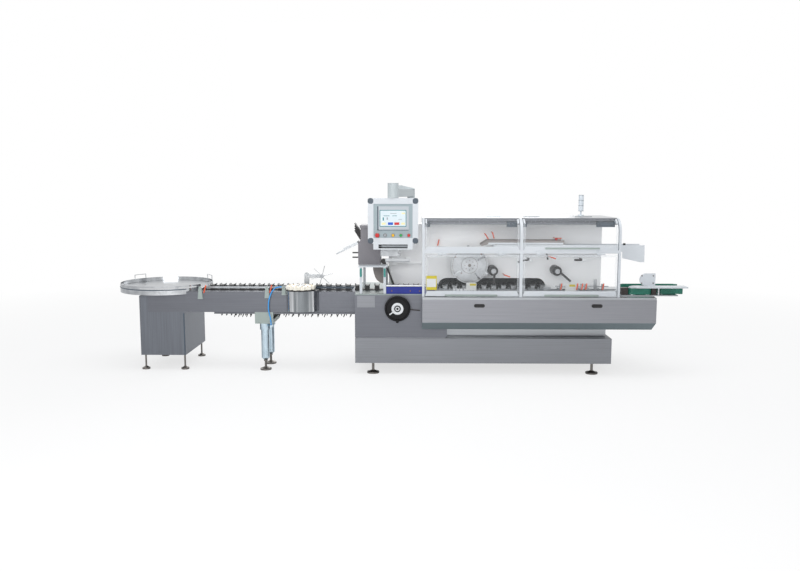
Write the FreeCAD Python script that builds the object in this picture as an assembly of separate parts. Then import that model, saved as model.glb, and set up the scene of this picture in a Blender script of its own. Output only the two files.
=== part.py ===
import FreeCAD, Part
import math
import os

# Automatic cartoner with its infeed conveyor. Sizes are millimetres.
# X runs along the line from the infeed to the discharge, Y from the operator side to the rear
# and Z up from the floor. The origin is on the floor, in the middle of the whole line.

# Main base
BASE_LEFT_X = -410.0
BASE_FRONT_Y = -440.0
BASE_DEPTH = 1000.0
PLINTH_LENGTH = 2600.0
PLINTH_BOTTOM_Z = 116.0
PLINTH_HEIGHT = 257.0
SHADOW_GAP = 10.0
SHADOW_INSET = 14.0
CABINET_LENGTH = 2570.0
CABINET_HEIGHT = 432.0
FLUSH_LENGTH = 934.0
RECESS_DEPTH = 150.0
DECK_THICKNESS = 12.0

BASE_REAR_Y = BASE_FRONT_Y + BASE_DEPTH
PLINTH_RIGHT_X = BASE_LEFT_X + PLINTH_LENGTH
PLINTH_TOP_Z = PLINTH_BOTTOM_Z + PLINTH_HEIGHT
CABINET_BOTTOM_Z = PLINTH_TOP_Z + SHADOW_GAP
CABINET_TOP_Z = CABINET_BOTTOM_Z + CABINET_HEIGHT
CABINET_RIGHT_X = BASE_LEFT_X + CABINET_LENGTH
CABINET_STEP_X = BASE_LEFT_X + FLUSH_LENGTH
RECESS_Y = BASE_FRONT_Y + RECESS_DEPTH
DECK_Z = CABINET_TOP_Z + DECK_THICKNESS

# Levelling feet
FOOT_PAD_RADIUS = 62.0
FOOT_PAD_HEIGHT = 16.0
FOOT_STEM_RADIUS = 13.0
FOOT_INSET_X = 180.0
FOOT_INSET_Y = 70.0

# Apron along the operator side
APRON_LEFT_X = 272.0
APRON_LENGTH = 2320.0
APRON_REACH = 120.0
APRON_BOTTOM_Z = 480.0
APRON_CHAMFER_HEIGHT = 75.0
APRON_CHAMFER_DEPTH = 60.0
APRON_TOP_Z = 786.0
APRON_END_TAPER = 26.0
SILL_HEIGHT = 22.0
SILL_SETBACK = 8.0
PULL_LENGTH = 108.0
PULL_HEIGHT = 36.0
PULL_DEPTH = 6.0
PULL_WALL = 7.0
PULL_Z = 727.0
PULL_OFFSETS = (567.0, 1731.0)

APRON_Y = BASE_FRONT_Y - APRON_REACH
APRON_RIGHT_X = APRON_LEFT_X + APRON_LENGTH
SILL_Z = APRON_TOP_Z + SILL_HEIGHT

# White back plate with its arched slot, and the closed housing behind it
PLATE_SETBACK = 430.0
PLATE_THICKNESS = 12.0
PLATE_LEFT_X = -78.0
PLATE_LENGTH = 2236.0
PLATE_LEFT_TOP_Z = 1510.0
SLOT_LEFT_X = 443.0
SLOT_LENGTH = 1133.0
SLOT_HEIGHT = 116.0
SLOT_CORNER = 90.0
NICHE_DEPTH = 190.0
LEDGE_Z = 1093.0
LEDGE_DEPTH = 16.0
LEDGE_HEIGHT = 10.0
LEDGE_RISE = 15.0
LEDGE_RAMP = 22.0
LEDGE_FLAT = 70.0

PLATE_Y = BASE_FRONT_Y + PLATE_SETBACK
PLATE_BACK_Y = PLATE_Y + PLATE_THICKNESS
PLATE_RIGHT_X = PLATE_LEFT_X + PLATE_LENGTH

# Guard hood over the working area
HOOD_LEFT_X = 270.0
HOOD_LENGTH = 1970.0
HOOD_TOP_Z = 1590.0
HOOD_FRONT_OFFSET = 60.0
HOOD_BEND_RADIUS = 150.0
ROOF_THICKNESS = 10.0
ROOF_LIP_HEIGHT = 68.0
POST_WIDTH = 24.0
POST_DEPTH = 32.0
CENTRE_POST_WIDTH = 30.0
MID_RAIL_BOTTOM_Z = 1243.0
MID_RAIL_HEIGHT = 31.0
RAIL_DEPTH = 26.0
SEAT_GAP = 0.3
RUN_GAP = 6.0
ROOF_PLATE_THICKNESS = 12.0
ROOF_PLATE_DEPTH = 120.0
ROOF_PLATE_SETBACK = 300.0
HALF_HOOD = HOOD_LENGTH / 2.0
ROOF_PLATES = (
    (144.0, 145.0),
    (HALF_HOOD - 314.0, 154.0),
    (HALF_HOOD + 67.0, 164.0),
    (HOOD_LENGTH - 394.0, 174.0),
)
ROOF_BRACKET_DEPTH = 30.0
ROOF_BRACKET_HEIGHT = 55.0
ROOF_BRACKET_TOP = 35.0
ROOF_BRACKETS = (
    (30.0, 50.0),
    (HALF_HOOD - 136.0, 102.0),
    (HALF_HOOD + 19.0, 47.0),
    (HOOD_LENGTH - 222.0, 182.0),
)

HOOD_Y = BASE_FRONT_Y - HOOD_FRONT_OFFSET
HOOD_RIGHT_X = HOOD_LEFT_X + HOOD_LENGTH
ROOF_FRONT_Y = HOOD_Y + HOOD_BEND_RADIUS
POST_BEND_Z = HOOD_TOP_Z - HOOD_BEND_RADIUS
MID_RAIL_TOP_Z = MID_RAIL_BOTTOM_Z + MID_RAIL_HEIGHT
CENTRE_POST_X = (HOOD_LEFT_X + HOOD_RIGHT_X) / 2.0
LEFT_BAY = (HOOD_LEFT_X + POST_WIDTH, CENTRE_POST_X - CENTRE_POST_WIDTH / 2.0)
RIGHT_BAY = (CENTRE_POST_X + CENTRE_POST_WIDTH / 2.0, HOOD_RIGHT_X - POST_WIDTH)

# Guard doors
DOOR_RAIL_DEPTH = 22.0
DOOR_STILE_WIDTH = 18.0
DOOR_PANE = 5.0
PANE_SETBACK = 2.0
UPPER_RAIL_HEIGHT = 35.0
LOWER_TOP_RAIL_HEIGHT = 22.0
LOWER_BOTTOM_RAIL_HEIGHT = 52.0
HINGE_RADIUS = 6.5
HINGE_LENGTH = 40.0
HINGE_DROP = 8.0
HINGE_SHARE = 0.18
HINGE_GAP = 0.5
GRIP_HEIGHT = 14.0
GRIP_DEPTH = 7.0
GRIP_LENGTH = 545.0
GRIP_OFFSETS = (205.0, 232.0)
UPPER_GRIP_OFFSET = 236.0
UPPER_GRIP_LENGTH = 523.0

# Support arm of the operator panel
ARM_POST_X = 155.0
ARM_POST_SETBACK = 480.0
ARM_POST_RADIUS = 34.0
ARM_POST_TOP_Z = 1784.0
ARM_KNUCKLE_RADIUS = 40.0
ARM_KNUCKLE_HEIGHT = 94.0
ARM_CUP_X = -20.0
ARM_CUP_SETBACK = -60.0
ARM_CUP_RADIUS = 54.0
ARM_CUP_TOP_Z = 1938.0
ARM_BEAM_HEIGHT = 78.0

# Operator panel
PANEL_WIDTH = 497.0
PANEL_HEIGHT = 446.0
PANEL_BOTTOM_Z = 1344.0
PANEL_DEPTH = 80.0
PANEL_BORDER = 56.0
PANEL_CORNER = 48.0
FACE_RECESS = 4.0
FACE_THICKNESS = 12.0
BEZEL_WIDTH = 310.0
BEZEL_HEIGHT = 236.0
BEZEL_DEPTH = 5.0
SCREEN_WIDTH = 264.0
SCREEN_HEIGHT = 165.0
SCREEN_RECESS = 2.5
BUTTON_RADIUS = 13.0
BUTTON_DEPTH = 16.0
STOP_RADIUS = 20.0
STOP_DEPTH = 26.0
BUTTON_Z = 1425.0
BUTTON_PITCH = 78.0
TRAY_WIDTH = 390.0
TRAY_HEIGHT = 60.0
TRAY_WALL = 6.0
TRAY_SLOT_WIDTH = 288.0
TRAY_SLOT_HEIGHT = 38.0
TRAY_SLOT_DEPTH = 50.0

# Handwheel and clutch lever
WHEEL_X = 23.0
WHEEL_Z = 685.0
WHEEL_RADIUS = 130.0
WHEEL_RIM = 16.0
WHEEL_DEPTH = 26.0
WHEEL_STANDOFF = 36.0
WHEEL_SHAFT_RADIUS = 20.0
WHEEL_HUB_RADIUS = 60.0
WHEEL_HUB_BORE = 34.0
LEVER_RADIUS = 5.0
LEVER_REACH = 226.0
LEVER_Y_OFFSET = 18.0

# Entry frame, blue guide and leaflet folder
ENTRY_LEFT_X = -361.0
ENTRY_LENGTH = 266.0
ENTRY_POST = 26.0
ENTRY_TOP_Z = 1105.0
ENTRY_DEPTH = 600.0
ENTRY_FRONT = 20.0
ENTRY_TOP_THICKNESS = 10.0
ENTRY_OVERHANG = 14.0
ENTRY_NOTCH = 33.0
BLUE_LEFT_X = -92.0
BLUE_LENGTH = 490.0
BLUE_HEIGHT = 89.0
BLUE_THICKNESS = 14.0
FOLDER_LEFT_X = -386.0
FOLDER_LENGTH = 226.0
FOLDER_FRONT = 190.0
FOLDER_DEPTH = 360.0
FOLDER_HEIGHT = 405.0
FOLDER_BODY_HEIGHT = 215.0
FOLDER_SHOULDER = 45.0
FOLDER_NECK_INSET = 26.0
FOLDER_CAP_HEIGHT = 30.0
FOLDER_CAP_OVERHANG = 8.0
FORK_LENGTH = 118.0
FORK_THICKNESS = 9.0
FORK_PITCH = 24.0
FORK_COUNT = 4
FORK_WIDTH = 130.0
CHUTE_LENGTH = 237.0
CHUTE_RISE = 114.0
CHUTE_THICKNESS = 30.0
CHUTE_WIDTH = 240.0
CLIP_PLATE_LENGTH = 184.0
CLIP_PLATE_HEIGHT = 73.0
CLIP_PLATE_THICKNESS = 30.0
CLIP_PLATE_RISE = 85.0
BELT_ROLLER_RADIUS = 26.0
LEAFLET_BELT_THICKNESS = 16.0
LEAFLET_BELT_WIDTH = 60.0
LEAFLET_BELT_FRONT = 230.0

# Rotary carton picker
PICKER_X = 763.0
PICKER_Z = 1094.0
PICKER_RADIUS = 190.0
PICKER_FRONT = 262.0
PICKER_DEPTH = 30.0
PICKER_HUB_RADIUS = 80.0
PICKER_HUB_DEPTH = 12.0
PICKER_ARM_REACH = 212.0
SPINDLE_RADIUS = 45.0

# Carton magazine
MAG_LEFT_X = 1010.0
MAG_RIGHT_X = 2552.0
MAG_FLOOR_Z = 1238.0
MAG_HEIGHT = 69.0
MAG_FRONT = 230.0
MAG_WIDTH = 196.0
MAG_WALL = 5.0
MAG_MOUNT_INSET = 150.0
MAG_MOUNT_WIDTH = 60.0
MAG_GUIDE_LEFT_X = 944.0
MAG_GUIDE_LENGTH = 786.0
MAG_GUIDE_GAP = 6.0
MAG_GUIDE_HEIGHT = 41.0
MAG_GUIDE_WIDTH = 14.0
MAG_TOE_LENGTH = 64.0
MAG_TOE_DROP = 40.0
MAG_FENCE_LEFT_X = 2325.0
MAG_FENCE_DROP = 106.0
MAG_FENCE_SLOPE = 41.0
MAG_FENCE_THICKNESS = 4.0

# Guide posts that stand out from the back plate
GUIDE_POST_RADIUS = 50.0
GUIDE_POST_Z = 1035.0
GUIDE_POST_XS = (1010.0, 1668.0)
GUIDE_HUB_RADIUS = 26.0
GUIDE_HUB_LENGTH = 40.0
GUIDE_ARM_WIDTH = 22.0
GUIDE_ARM_THICKNESS = 14.0
GUIDE_ARM_ENDS = ((-8.0, -130.0), (128.0, -112.0))

# Carton track
TRACK_LEFT_X = 400.0
TRACK_FRONT = 150.0
TRACK_WIDTH = 130.0
TRACK_RAIL_WIDTH = 14.0
TRACK_RAIL_HEIGHT = 22.0
LUG_PITCH = 101.6
LUG_HEIGHT = 44.0
LUG_THICKNESS = 8.0
LUG_CLEARANCE = 14.0
ROLLER_RADIUS = 12.0
ROLLER_PITCH = 27.0
ROLLER_COUNT = 4
ROLLER_LEFT_X = 712.0
ROLLER_LENGTH = 12.0

# Carton clamps with their orange levers
CLAMP_INSETS = (480.0, 317.0, 266.0, 226.0, 53.0)
CLAMP_XS = tuple(CABINET_RIGHT_X - inset for inset in CLAMP_INSETS)
CLAMP_WIDTH = 26.0
CLAMP_DEPTH = 28.0
CLAMP_HEIGHT = 66.0
COLUMN_X = 2030.0
COLUMN_HEIGHT = 112.0
BEARING_X = 1518.0
BEARING_LENGTH = 70.0
BEARING_HEIGHT = 31.0
TOP_ROD_RADIUS = 6.0
TOP_ROD_REACH = 45.0
LEVER_WIDTH = 12.0
LEVER_LENGTH = 64.0
LEVER_THICKNESS = 10.0
STEM_RADIUS = 5.0
PLATE_LEVERS = (
    (437.0, 1290.0, 78.0, 390.0),
    (925.0, 1415.0, -58.0, 300.0),
    (1000.0, 1430.0, -75.0, 300.0),
    (1130.0, 990.0, -20.0, 300.0),
    (1650.0, 1372.0, 0.0, 300.0),
    (1600.0, 1180.0, -20.0, 300.0),
)

# Infeed conveyor
LINE_SETBACK = 350.0
BEAM_LEFT_X = -2565.0
BEAM_WIDTH = 400.0
BEAM_HEIGHT = 213.0
BEAM_SLOT_WIDTH = 130.0
BEAM_SLOT_DEPTH = 150.0
CHAIN_LEFT_X = -2000.0
CHAIN_LENGTH = 3560.0
CHAIN_WIDTH = 100.0
CHAIN_HEIGHT = 10.0
PUSHER_PITCH = 101.6
PUSHER_LENGTH = 46.0
PUSHER_HEIGHT = 34.0
HORN_RISE = 20.0
HORN_FLARE = 6.0
HORN_ROOT = 6.0
RETURN_CHAIN_HEIGHT = 18.0
RETURN_INSET = 40.0
RETURN_END_GAP = 10.0
FINGER_PITCH = 50.8
FINGER_COUNT = 28
FINGER_DROP = 64.0
FINGER_END_GAP = 80.0
FINGER_ROOT = 10.0
FINGER_TIP = 4.0
GUIDE_RAIL_HEIGHT = 20.0
GUIDE_RAIL_WIDTH = 10.0
GUIDE_RAIL_Z = 846.0
GUIDE_RAIL_GAP = 112.0
GUIDE_RAIL_END_GAP = 20.0
RAIL_POST_XS = (-1900.0, -1315.0, -600.0)
RAIL_POST_LENGTH = 30.0
RAIL_POST_WIDTH = 12.0
A_BRACKETS = ((-2016.0, 52.0, 752.0), (-1325.0, 52.0, 763.0), (-1152.0, 44.0, 795.0))
A_BRACKET_TOP_Z = 882.0
A_BRACKET_THICKNESS = 14.0
A_BRACKET_HEAD = 15.0
BRACKET_PIN_RADIUS = 7.0
INFEED_LEVERS = ((-1974.0, 812.0), (-1292.0, 818.0))
INFEED_LEVER_RISE = 80.0
INFEED_LEVER_LEAN = 24.0
LEG_X = -1362.0
LEG_RADIUS = 42.0
LEG_SPACING = 300.0
LEG_BRACKET_WIDTH = 190.0
LEG_BRACKET_HEIGHT = 120.0
LEG_BRACKET_FLOOR = 40.0
LEG_BRACKET_WALL = 12.0
LEG_COLLAR_STEP = 12.0
LEG_COLLAR_HEIGHT = 66.0
LEG_TUBE_BOTTOM_Z = 130.0
LEG_TIP_HEIGHT = 24.0
LEG_TIP_RADIUS = 18.0
LEG_STEM_RADIUS = 12.0
LEG_PAD_RADIUS = 58.0

LINE_Y = BASE_FRONT_Y + LINE_SETBACK
BEAM_TOP_Z = DECK_Z
BEAM_BOTTOM_Z = BEAM_TOP_Z - BEAM_HEIGHT
BEAM_FRONT_Y = LINE_Y - BEAM_WIDTH / 2.0
BEAM_REAR_Y = LINE_Y + BEAM_WIDTH / 2.0
CHAIN_TOP_Z = DECK_Z + CHAIN_HEIGHT

# Air hose in front of the beam, from the small bracket down to the leg bracket
HOSE_RADIUS = 6.0
HOSE_TRIM = 0.45
HOSE_STANDOFF = 11.0
HOSE_TOP = (-1170.0, 880.0)
HOSE_END = (-1289.0, 482.0)
HOSE_FITTING = 22.0
HOSE_ROUTE = (
    (-1228.0, 0.0, 880.0),
    (-1272.0, 4.0, 836.0),
    (-1300.0, 11.0, 768.0),
    (-1312.0, 13.0, 690.0),
    (-1308.0, 11.0, 612.0),
    (-1289.0, 0.0, 545.0),
)

# Turntable
TABLE_X = -2470.0
TABLE_SETBACK = 520.0
TABLE_RADIUS = 466.0
TABLE_Z = 850.0
TABLE_THICKNESS = 12.0
PAN_THICKNESS = 5.0
PEDESTAL_RADIUS = 200.0
SEAT_RADIUS = 60.0
RIM_RADIUS = 480.0
RIM_THICKNESS = 6.0
RIM_BOTTOM_Z = 800.0
RIM_HEIGHT = 90.0
RIM_WINDOWS = ((-2620.0, -2258.0), (-2228.0, -2080.0))
RIM_WINDOW_Z = (862.0, 878.0)
RIM_EXIT_WIDTH = 120.0
WIRE_RADIUS = 4.0
WIRE_RISE = 44.0
WIRE_ANGLES = ((25.0, 42.0), (136.0, 153.0))
TABLE_CABINET_LEFT_X = -2655.0
TABLE_CABINET_WIDTH = 468.0
TABLE_CABINET_DEPTH = 780.0
TABLE_CABINET_BOTTOM_Z = 160.0
TABLE_CABINET_TOP_Z = 782.0
TABLE_FOOT_RADIUS = 41.0
TABLE_FOOT_STEM = 9.0
TABLE_FOOT_INSET_X = 28.0
TABLE_FOOT_INSET_Y = 60.0

TABLE_Y = BASE_FRONT_Y + TABLE_SETBACK

# Star wheel on its drum
STAR_X = -976.0
STAR_SETBACK = 143.0
STAR_RADIUS = 151.0
STAR_CLEAR = 100.0
STAR_POCKETS = 12
POCKET_RADIUS = 24.0
POCKET_OFFSET = 6.0
STAR_HEIGHT = 34.0
STAR_Z = 860.0
STAR_NECK_RADIUS = 50.0
DRUM_RADIUS = 146.0
DRUM_BOTTOM_Z = 636.0
DRUM_SIDE_STEP = (40.0, 20.0)
DRUM_RING_Z = 846.0
DRUM_RING_HEIGHT = 8.0
DRUM_RING_RADIUS = 152.0

# Feeder bracket and its six-armed star
FEEDER_X = -954.0
FEEDER_WIDTH = 52.0
FEEDER_THICKNESS = 22.0
FEEDER_TOP_Z = 997.0
FEEDER_OFFSET = 28.0
FEEDER_STAR_X = -789.0
FEEDER_STAR_Z = 959.0
FEEDER_ARM_HALF = 19.0
FEEDER_ROD_LENGTH = 112.0
FEEDER_ROD_RADIUS = 3.5
FEEDER_ROD_TIP = 4.0
FEEDER_ROD_COUNT = 6
FEEDER_ROD_TURN = 15.0
FEEDER_HUB_RADIUS = 22.0
FEEDER_HUB_LENGTH = 26.0
FEEDER_ROD_PLANE = 18.0

# Outfeed with its side belts
OUT_OFFSET = 128.0
OUT_FRAME_LENGTH = 488.0
OUT_FRAME_BOTTOM_Z = 600.0
OUT_FRAME_DEPTH = 650.0
OUT_PLATE_LENGTH = 556.0
OUT_PLATE_FRONT = 20.0
OUT_PLATE_DEPTH = 360.0
OUT_PLATE_THICKNESS = 10.0
OUT_BLOCK_LENGTH = 359.0
OUT_BLOCK_DEPTH = 65.0
OUT_BELT_THICKNESS = 4.0
OUT_BELT_GAP = 2.0
OUT_BELT_HEIGHT = 62.0
OUT_POCKET_GAP = 6.0
OUT_FRONT_BELT = (73.0, 234.0, 90.0)
OUT_SECOND_BELT = (393.0, 241.0, 50.0)
OUT_REAR_BELT = (14.0, 620.0, 50.0)
OUT_REAR_HEIGHT = 78.0
OUT_COVER_LENGTH = 579.0
OUT_COVER_OFFSET = 83.0
OUT_COVER_OVERHANG = 20.0
OUT_COVER_TIP = 59.0
OUT_COVER_THICKNESS = 14.0
OUT_POST_RADIUS = 10.0
PULLEY_PLATE_OFFSET = 202.0
PULLEY_PLATE_LENGTH = 160.0
PULLEY_PLATE_HEIGHT = 126.0
PULLEY_PLATE_THICKNESS = 12.0

OUT_LEFT_X = CABINET_RIGHT_X + OUT_OFFSET
TRACK_REAR_Y = BASE_FRONT_Y + TRACK_FRONT + TRACK_WIDTH
TRACK_FRONT_Y = BASE_FRONT_Y + TRACK_FRONT
TRACK_RIGHT_X = OUT_LEFT_X - RUN_GAP

# Light tower
TOWER_INSET = 323.0
TOWER_SETBACK = 300.0
TOWER_BASE_RADIUS = 30.0
TOWER_BASE_HEIGHT = 12.0
TOWER_STEM_RADIUS = 8.0
TOWER_STEM_HEIGHT = 36.0
TOWER_LAMP_RADIUS = 26.0
TOWER_TOP_Z = 1817.0


def vec(x, y, z):
    return FreeCAD.Vector(x, y, z)


def block(x0, x1, y0, y1, z0, z1):
    return Part.makeBox(x1 - x0, y1 - y0, z1 - z0, vec(x0, y0, z0))


def rod(radius, start, end):
    """Round bar between two points."""
    axis = end.sub(start)
    return Part.makeCylinder(radius, axis.Length, start, axis)


def cone(radius0, radius1, start, end):
    axis = end.sub(start)
    return Part.makeCone(radius0, radius1, axis.Length, start, axis)


def prism(points, direction):
    """Flat outline pushed along a direction."""
    wire = Part.makePolygon(points + [points[0]])
    return Part.Face(wire).extrude(direction)


def side_prism(outline, x0, x1):
    """Outline of (y, z) pairs pushed along X."""
    points = [vec(x0, y, z) for y, z in outline]
    return prism(points, vec(x1 - x0, 0, 0))


def front_prism(outline, y0, y1):
    """Outline of (x, z) pairs pushed along Y."""
    points = [vec(x, y0, z) for x, z in outline]
    return prism(points, vec(0, y1 - y0, 0))


def plan_prism(outline, z0, z1):
    """Outline of (x, y) pairs pushed up along Z."""
    points = [vec(x, y, z0) for x, y in outline]
    return prism(points, vec(0, 0, z1 - z0))


def fused(*shapes):
    whole = shapes[0]
    for shape in shapes[1:]:
        whole = whole.fuse(shape)
    return whole.removeSplitter()


def bent_band(x0, x1, outer, thickness, z_low):
    """Vertical band that bends back over the working area, as the posts and panes do.

    outer is how far the outside of the band lies behind the front plane of the hood."""
    y0 = HOOD_Y + outer
    radius = HOOD_BEND_RADIUS - outer
    centre_y = HOOD_Y + HOOD_BEND_RADIUS
    centre_z = POST_BEND_Z
    inner = radius - thickness
    slant = math.sqrt(0.5)

    def at(r, share_y, share_z):
        return vec(x0, centre_y - r * share_y, centre_z + r * share_z)

    edges = [
        Part.LineSegment(vec(x0, y0, z_low), at(radius, 1, 0)).toShape(),
        Part.Arc(at(radius, 1, 0), at(radius, slant, slant), at(radius, 0, 1)).toShape(),
        Part.LineSegment(at(radius, 0, 1), at(inner, 0, 1)).toShape(),
        Part.Arc(at(inner, 0, 1), at(inner, slant, slant), at(inner, 1, 0)).toShape(),
        Part.LineSegment(at(inner, 1, 0), vec(x0, y0 + thickness, z_low)).toShape(),
        Part.LineSegment(vec(x0, y0 + thickness, z_low), vec(x0, y0, z_low)).toShape(),
    ]
    return Part.Face(Part.Wire(edges)).extrude(vec(x1 - x0, 0, 0))


def export(name, *solids):
    shape = solids[0] if len(solids) == 1 else Part.makeCompound(list(solids))
    shape.exportStep("parts/" + name + ".step")
    print(name, len(shape.Solids), round(shape.Volume / 1e6, 3), shape.isValid())


# Base, deck and apron

def base_outline(inset):
    left = BASE_LEFT_X + inset
    return [
        (left, BASE_FRONT_Y + inset),
        (CABINET_STEP_X - inset, BASE_FRONT_Y + inset),
        (CABINET_STEP_X - inset, RECESS_Y + inset),
        (CABINET_RIGHT_X - inset, RECESS_Y + inset),
        (CABINET_RIGHT_X - inset, BASE_REAR_Y - inset),
        (left, BASE_REAR_Y - inset),
    ]


def make_base():
    body = block(BASE_LEFT_X, PLINTH_RIGHT_X, BASE_FRONT_Y, BASE_REAR_Y, PLINTH_BOTTOM_Z, PLINTH_TOP_Z)
    neck = plan_prism(base_outline(SHADOW_INSET), PLINTH_TOP_Z, CABINET_BOTTOM_Z)
    export("plinth", fused(body, neck))
    export("main_cabinet", plan_prism(base_outline(0.0), CABINET_BOTTOM_Z, CABINET_TOP_Z))
    export("deck_plate", plan_prism(base_outline(0.0), CABINET_TOP_Z, DECK_Z))


def foot(x, y, pad_radius, stem_radius, top_z):
    """Levelling foot: round pad, cone and threaded stem."""
    pad = Part.makeCylinder(pad_radius, FOOT_PAD_HEIGHT, vec(x, y, 0))
    neck = Part.makeCone(pad_radius * 0.8, stem_radius * 1.4, FOOT_PAD_HEIGHT, vec(x, y, FOOT_PAD_HEIGHT))
    stem_base = 2 * FOOT_PAD_HEIGHT
    stem = Part.makeCylinder(stem_radius, top_z - stem_base, vec(x, y, stem_base))
    nut_height = stem_radius
    nut = Part.makeCylinder(stem_radius * 1.7, nut_height, vec(x, y, top_z - nut_height))
    return fused(pad, neck, stem, nut)


def corner_feet(x0, x1, y0, y1, pad_radius, stem_radius, top_z):
    return [foot(x, y, pad_radius, stem_radius, top_z) for x in (x0, x1) for y in (y0, y1)]


def make_feet():
    """Four feet under the main base and four under the turntable cabinet."""
    main = corner_feet(
        BASE_LEFT_X + FOOT_INSET_X,
        PLINTH_RIGHT_X - FOOT_INSET_X,
        BASE_FRONT_Y + FOOT_INSET_Y,
        BASE_REAR_Y - FOOT_INSET_Y,
        FOOT_PAD_RADIUS,
        FOOT_STEM_RADIUS,
        PLINTH_BOTTOM_Z,
    )
    table = corner_feet(
        TABLE_CABINET_LEFT_X + TABLE_FOOT_INSET_X,
        TABLE_CABINET_LEFT_X + TABLE_CABINET_WIDTH - TABLE_FOOT_INSET_X,
        BEAM_FRONT_Y + TABLE_FOOT_INSET_Y,
        BEAM_FRONT_Y + TABLE_CABINET_DEPTH - TABLE_FOOT_INSET_Y,
        TABLE_FOOT_RADIUS,
        TABLE_FOOT_STEM,
        TABLE_CABINET_BOTTOM_Z,
    )
    export("levelling_feet", *(main + table))


def make_apron():
    chamfer_top_z = APRON_BOTTOM_Z + APRON_CHAMFER_HEIGHT
    lower_y = APRON_Y + APRON_CHAMFER_DEPTH
    front = [
        (BASE_FRONT_Y, APRON_BOTTOM_Z),
        (lower_y, APRON_BOTTOM_Z),
        (APRON_Y, chamfer_top_z),
        (APRON_Y, APRON_TOP_Z),
        (BASE_FRONT_Y, APRON_TOP_Z),
    ]
    body = side_prism(front, APRON_LEFT_X, APRON_RIGHT_X)
    back = block(CABINET_STEP_X, APRON_RIGHT_X, BASE_FRONT_Y, RECESS_Y, APRON_BOTTOM_Z, APRON_TOP_Z)
    skirt = fused(body, back)
    taper = front_prism(
        [
            (APRON_RIGHT_X, chamfer_top_z),
            (APRON_RIGHT_X - APRON_END_TAPER, APRON_BOTTOM_Z),
            (APRON_RIGHT_X, APRON_BOTTOM_Z),
        ],
        APRON_Y,
        RECESS_Y,
    )
    export("apron", skirt.cut(taper))
    sill_y = APRON_Y + SILL_SETBACK
    sill = block(APRON_LEFT_X, APRON_RIGHT_X, sill_y, BASE_FRONT_Y, APRON_TOP_Z, SILL_Z)
    ledge = block(CABINET_STEP_X, APRON_RIGHT_X, BASE_FRONT_Y, RECESS_Y, APRON_TOP_Z, SILL_Z)
    export("guard_sill", fused(sill, ledge))


def stadium(x, z, length, height, y0, y1):
    """Bar with half-round ends, seen from the front."""
    radius = height / 2.0
    half = length / 2.0 - radius
    middle = block(x - half, x + half, y0, y1, z - radius, z + radius)
    ends = [rod(radius, vec(x + side * half, y0, z), vec(x + side * half, y1, z)) for side in (-1, 1)]
    return fused(middle, *ends)


def make_pulls():
    pulls = []
    for offset in PULL_OFFSETS:
        x = APRON_LEFT_X + offset
        rim = stadium(x, PULL_Z, PULL_LENGTH, PULL_HEIGHT, APRON_Y - PULL_DEPTH, APRON_Y)
        hollow = stadium(
            x,
            PULL_Z,
            PULL_LENGTH - 2 * PULL_WALL,
            PULL_HEIGHT - 2 * PULL_WALL,
            APRON_Y - PULL_DEPTH,
            APRON_Y - PULL_DEPTH / 3.0,
        )
        pulls.append(rim.cut(hollow))
    export("apron_pulls", *pulls)


# Back plate, rear housing and hood

def slot_shape(y0, y1):
    """Arched slot: square at the deck, round at its upper corners."""
    right = SLOT_LEFT_X + SLOT_LENGTH
    top = DECK_Z + SLOT_HEIGHT
    shape = block(SLOT_LEFT_X, right, y0, y1, DECK_Z, top)
    upright = [
        edge
        for edge in shape.Edges
        if abs(edge.CenterOfMass.z - top) < 0.01 and abs(edge.CenterOfMass.y - (y0 + y1) / 2.0) < 0.01
    ]
    return shape.makeFillet(SLOT_CORNER, upright)


def make_back_plate():
    under_roof = HOOD_TOP_Z - ROOF_THICKNESS
    outline = [
        (PLATE_LEFT_X, DECK_Z),
        (PLATE_RIGHT_X, DECK_Z),
        (PLATE_RIGHT_X, under_roof),
        (HOOD_LEFT_X, under_roof),
        (HOOD_LEFT_X, PLATE_LEFT_TOP_Z),
        (PLATE_LEFT_X, PLATE_LEFT_TOP_Z),
    ]
    plate = front_prism(outline, PLATE_Y, PLATE_BACK_Y)
    plate = plate.cut(slot_shape(PLATE_Y, PLATE_BACK_Y))
    ramp_x = PLATE_LEFT_X + LEDGE_FLAT
    low_z = LEDGE_Z - LEDGE_RISE
    ledge = front_prism(
        [
            (PLATE_LEFT_X, low_z),
            (ramp_x, low_z),
            (ramp_x + LEDGE_RAMP, LEDGE_Z),
            (HOOD_LEFT_X, LEDGE_Z),
            (HOOD_LEFT_X, LEDGE_Z + LEDGE_HEIGHT),
            (ramp_x + LEDGE_RAMP, LEDGE_Z + LEDGE_HEIGHT),
            (ramp_x, low_z + LEDGE_HEIGHT),
            (PLATE_LEFT_X, low_z + LEDGE_HEIGHT),
        ],
        PLATE_Y - LEDGE_DEPTH,
        PLATE_Y,
    )
    export("back_plate", fused(plate, ledge))


def rear_block(x0, x1, top_z):
    """Closed housing behind the back plate, rounded along its upper rear edge."""
    shape = block(x0, x1, PLATE_BACK_Y, BASE_REAR_Y, DECK_Z, top_z)
    edges = [
        edge
        for edge in shape.Edges
        if abs(edge.CenterOfMass.z - top_z) < 0.01 and abs(edge.CenterOfMass.y - BASE_REAR_Y) < 0.01
    ]
    return shape.makeFillet(HOOD_BEND_RADIUS, edges)


def make_rear_housing():
    tall = rear_block(HOOD_LEFT_X, PLATE_RIGHT_X, HOOD_TOP_Z - ROOF_THICKNESS)
    low = rear_block(PLATE_LEFT_X, HOOD_LEFT_X, PLATE_LEFT_TOP_Z)
    niche = slot_shape(PLATE_BACK_Y, PLATE_BACK_Y + NICHE_DEPTH)
    export("rear_housing", fused(tall, low).cut(niche))


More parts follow.
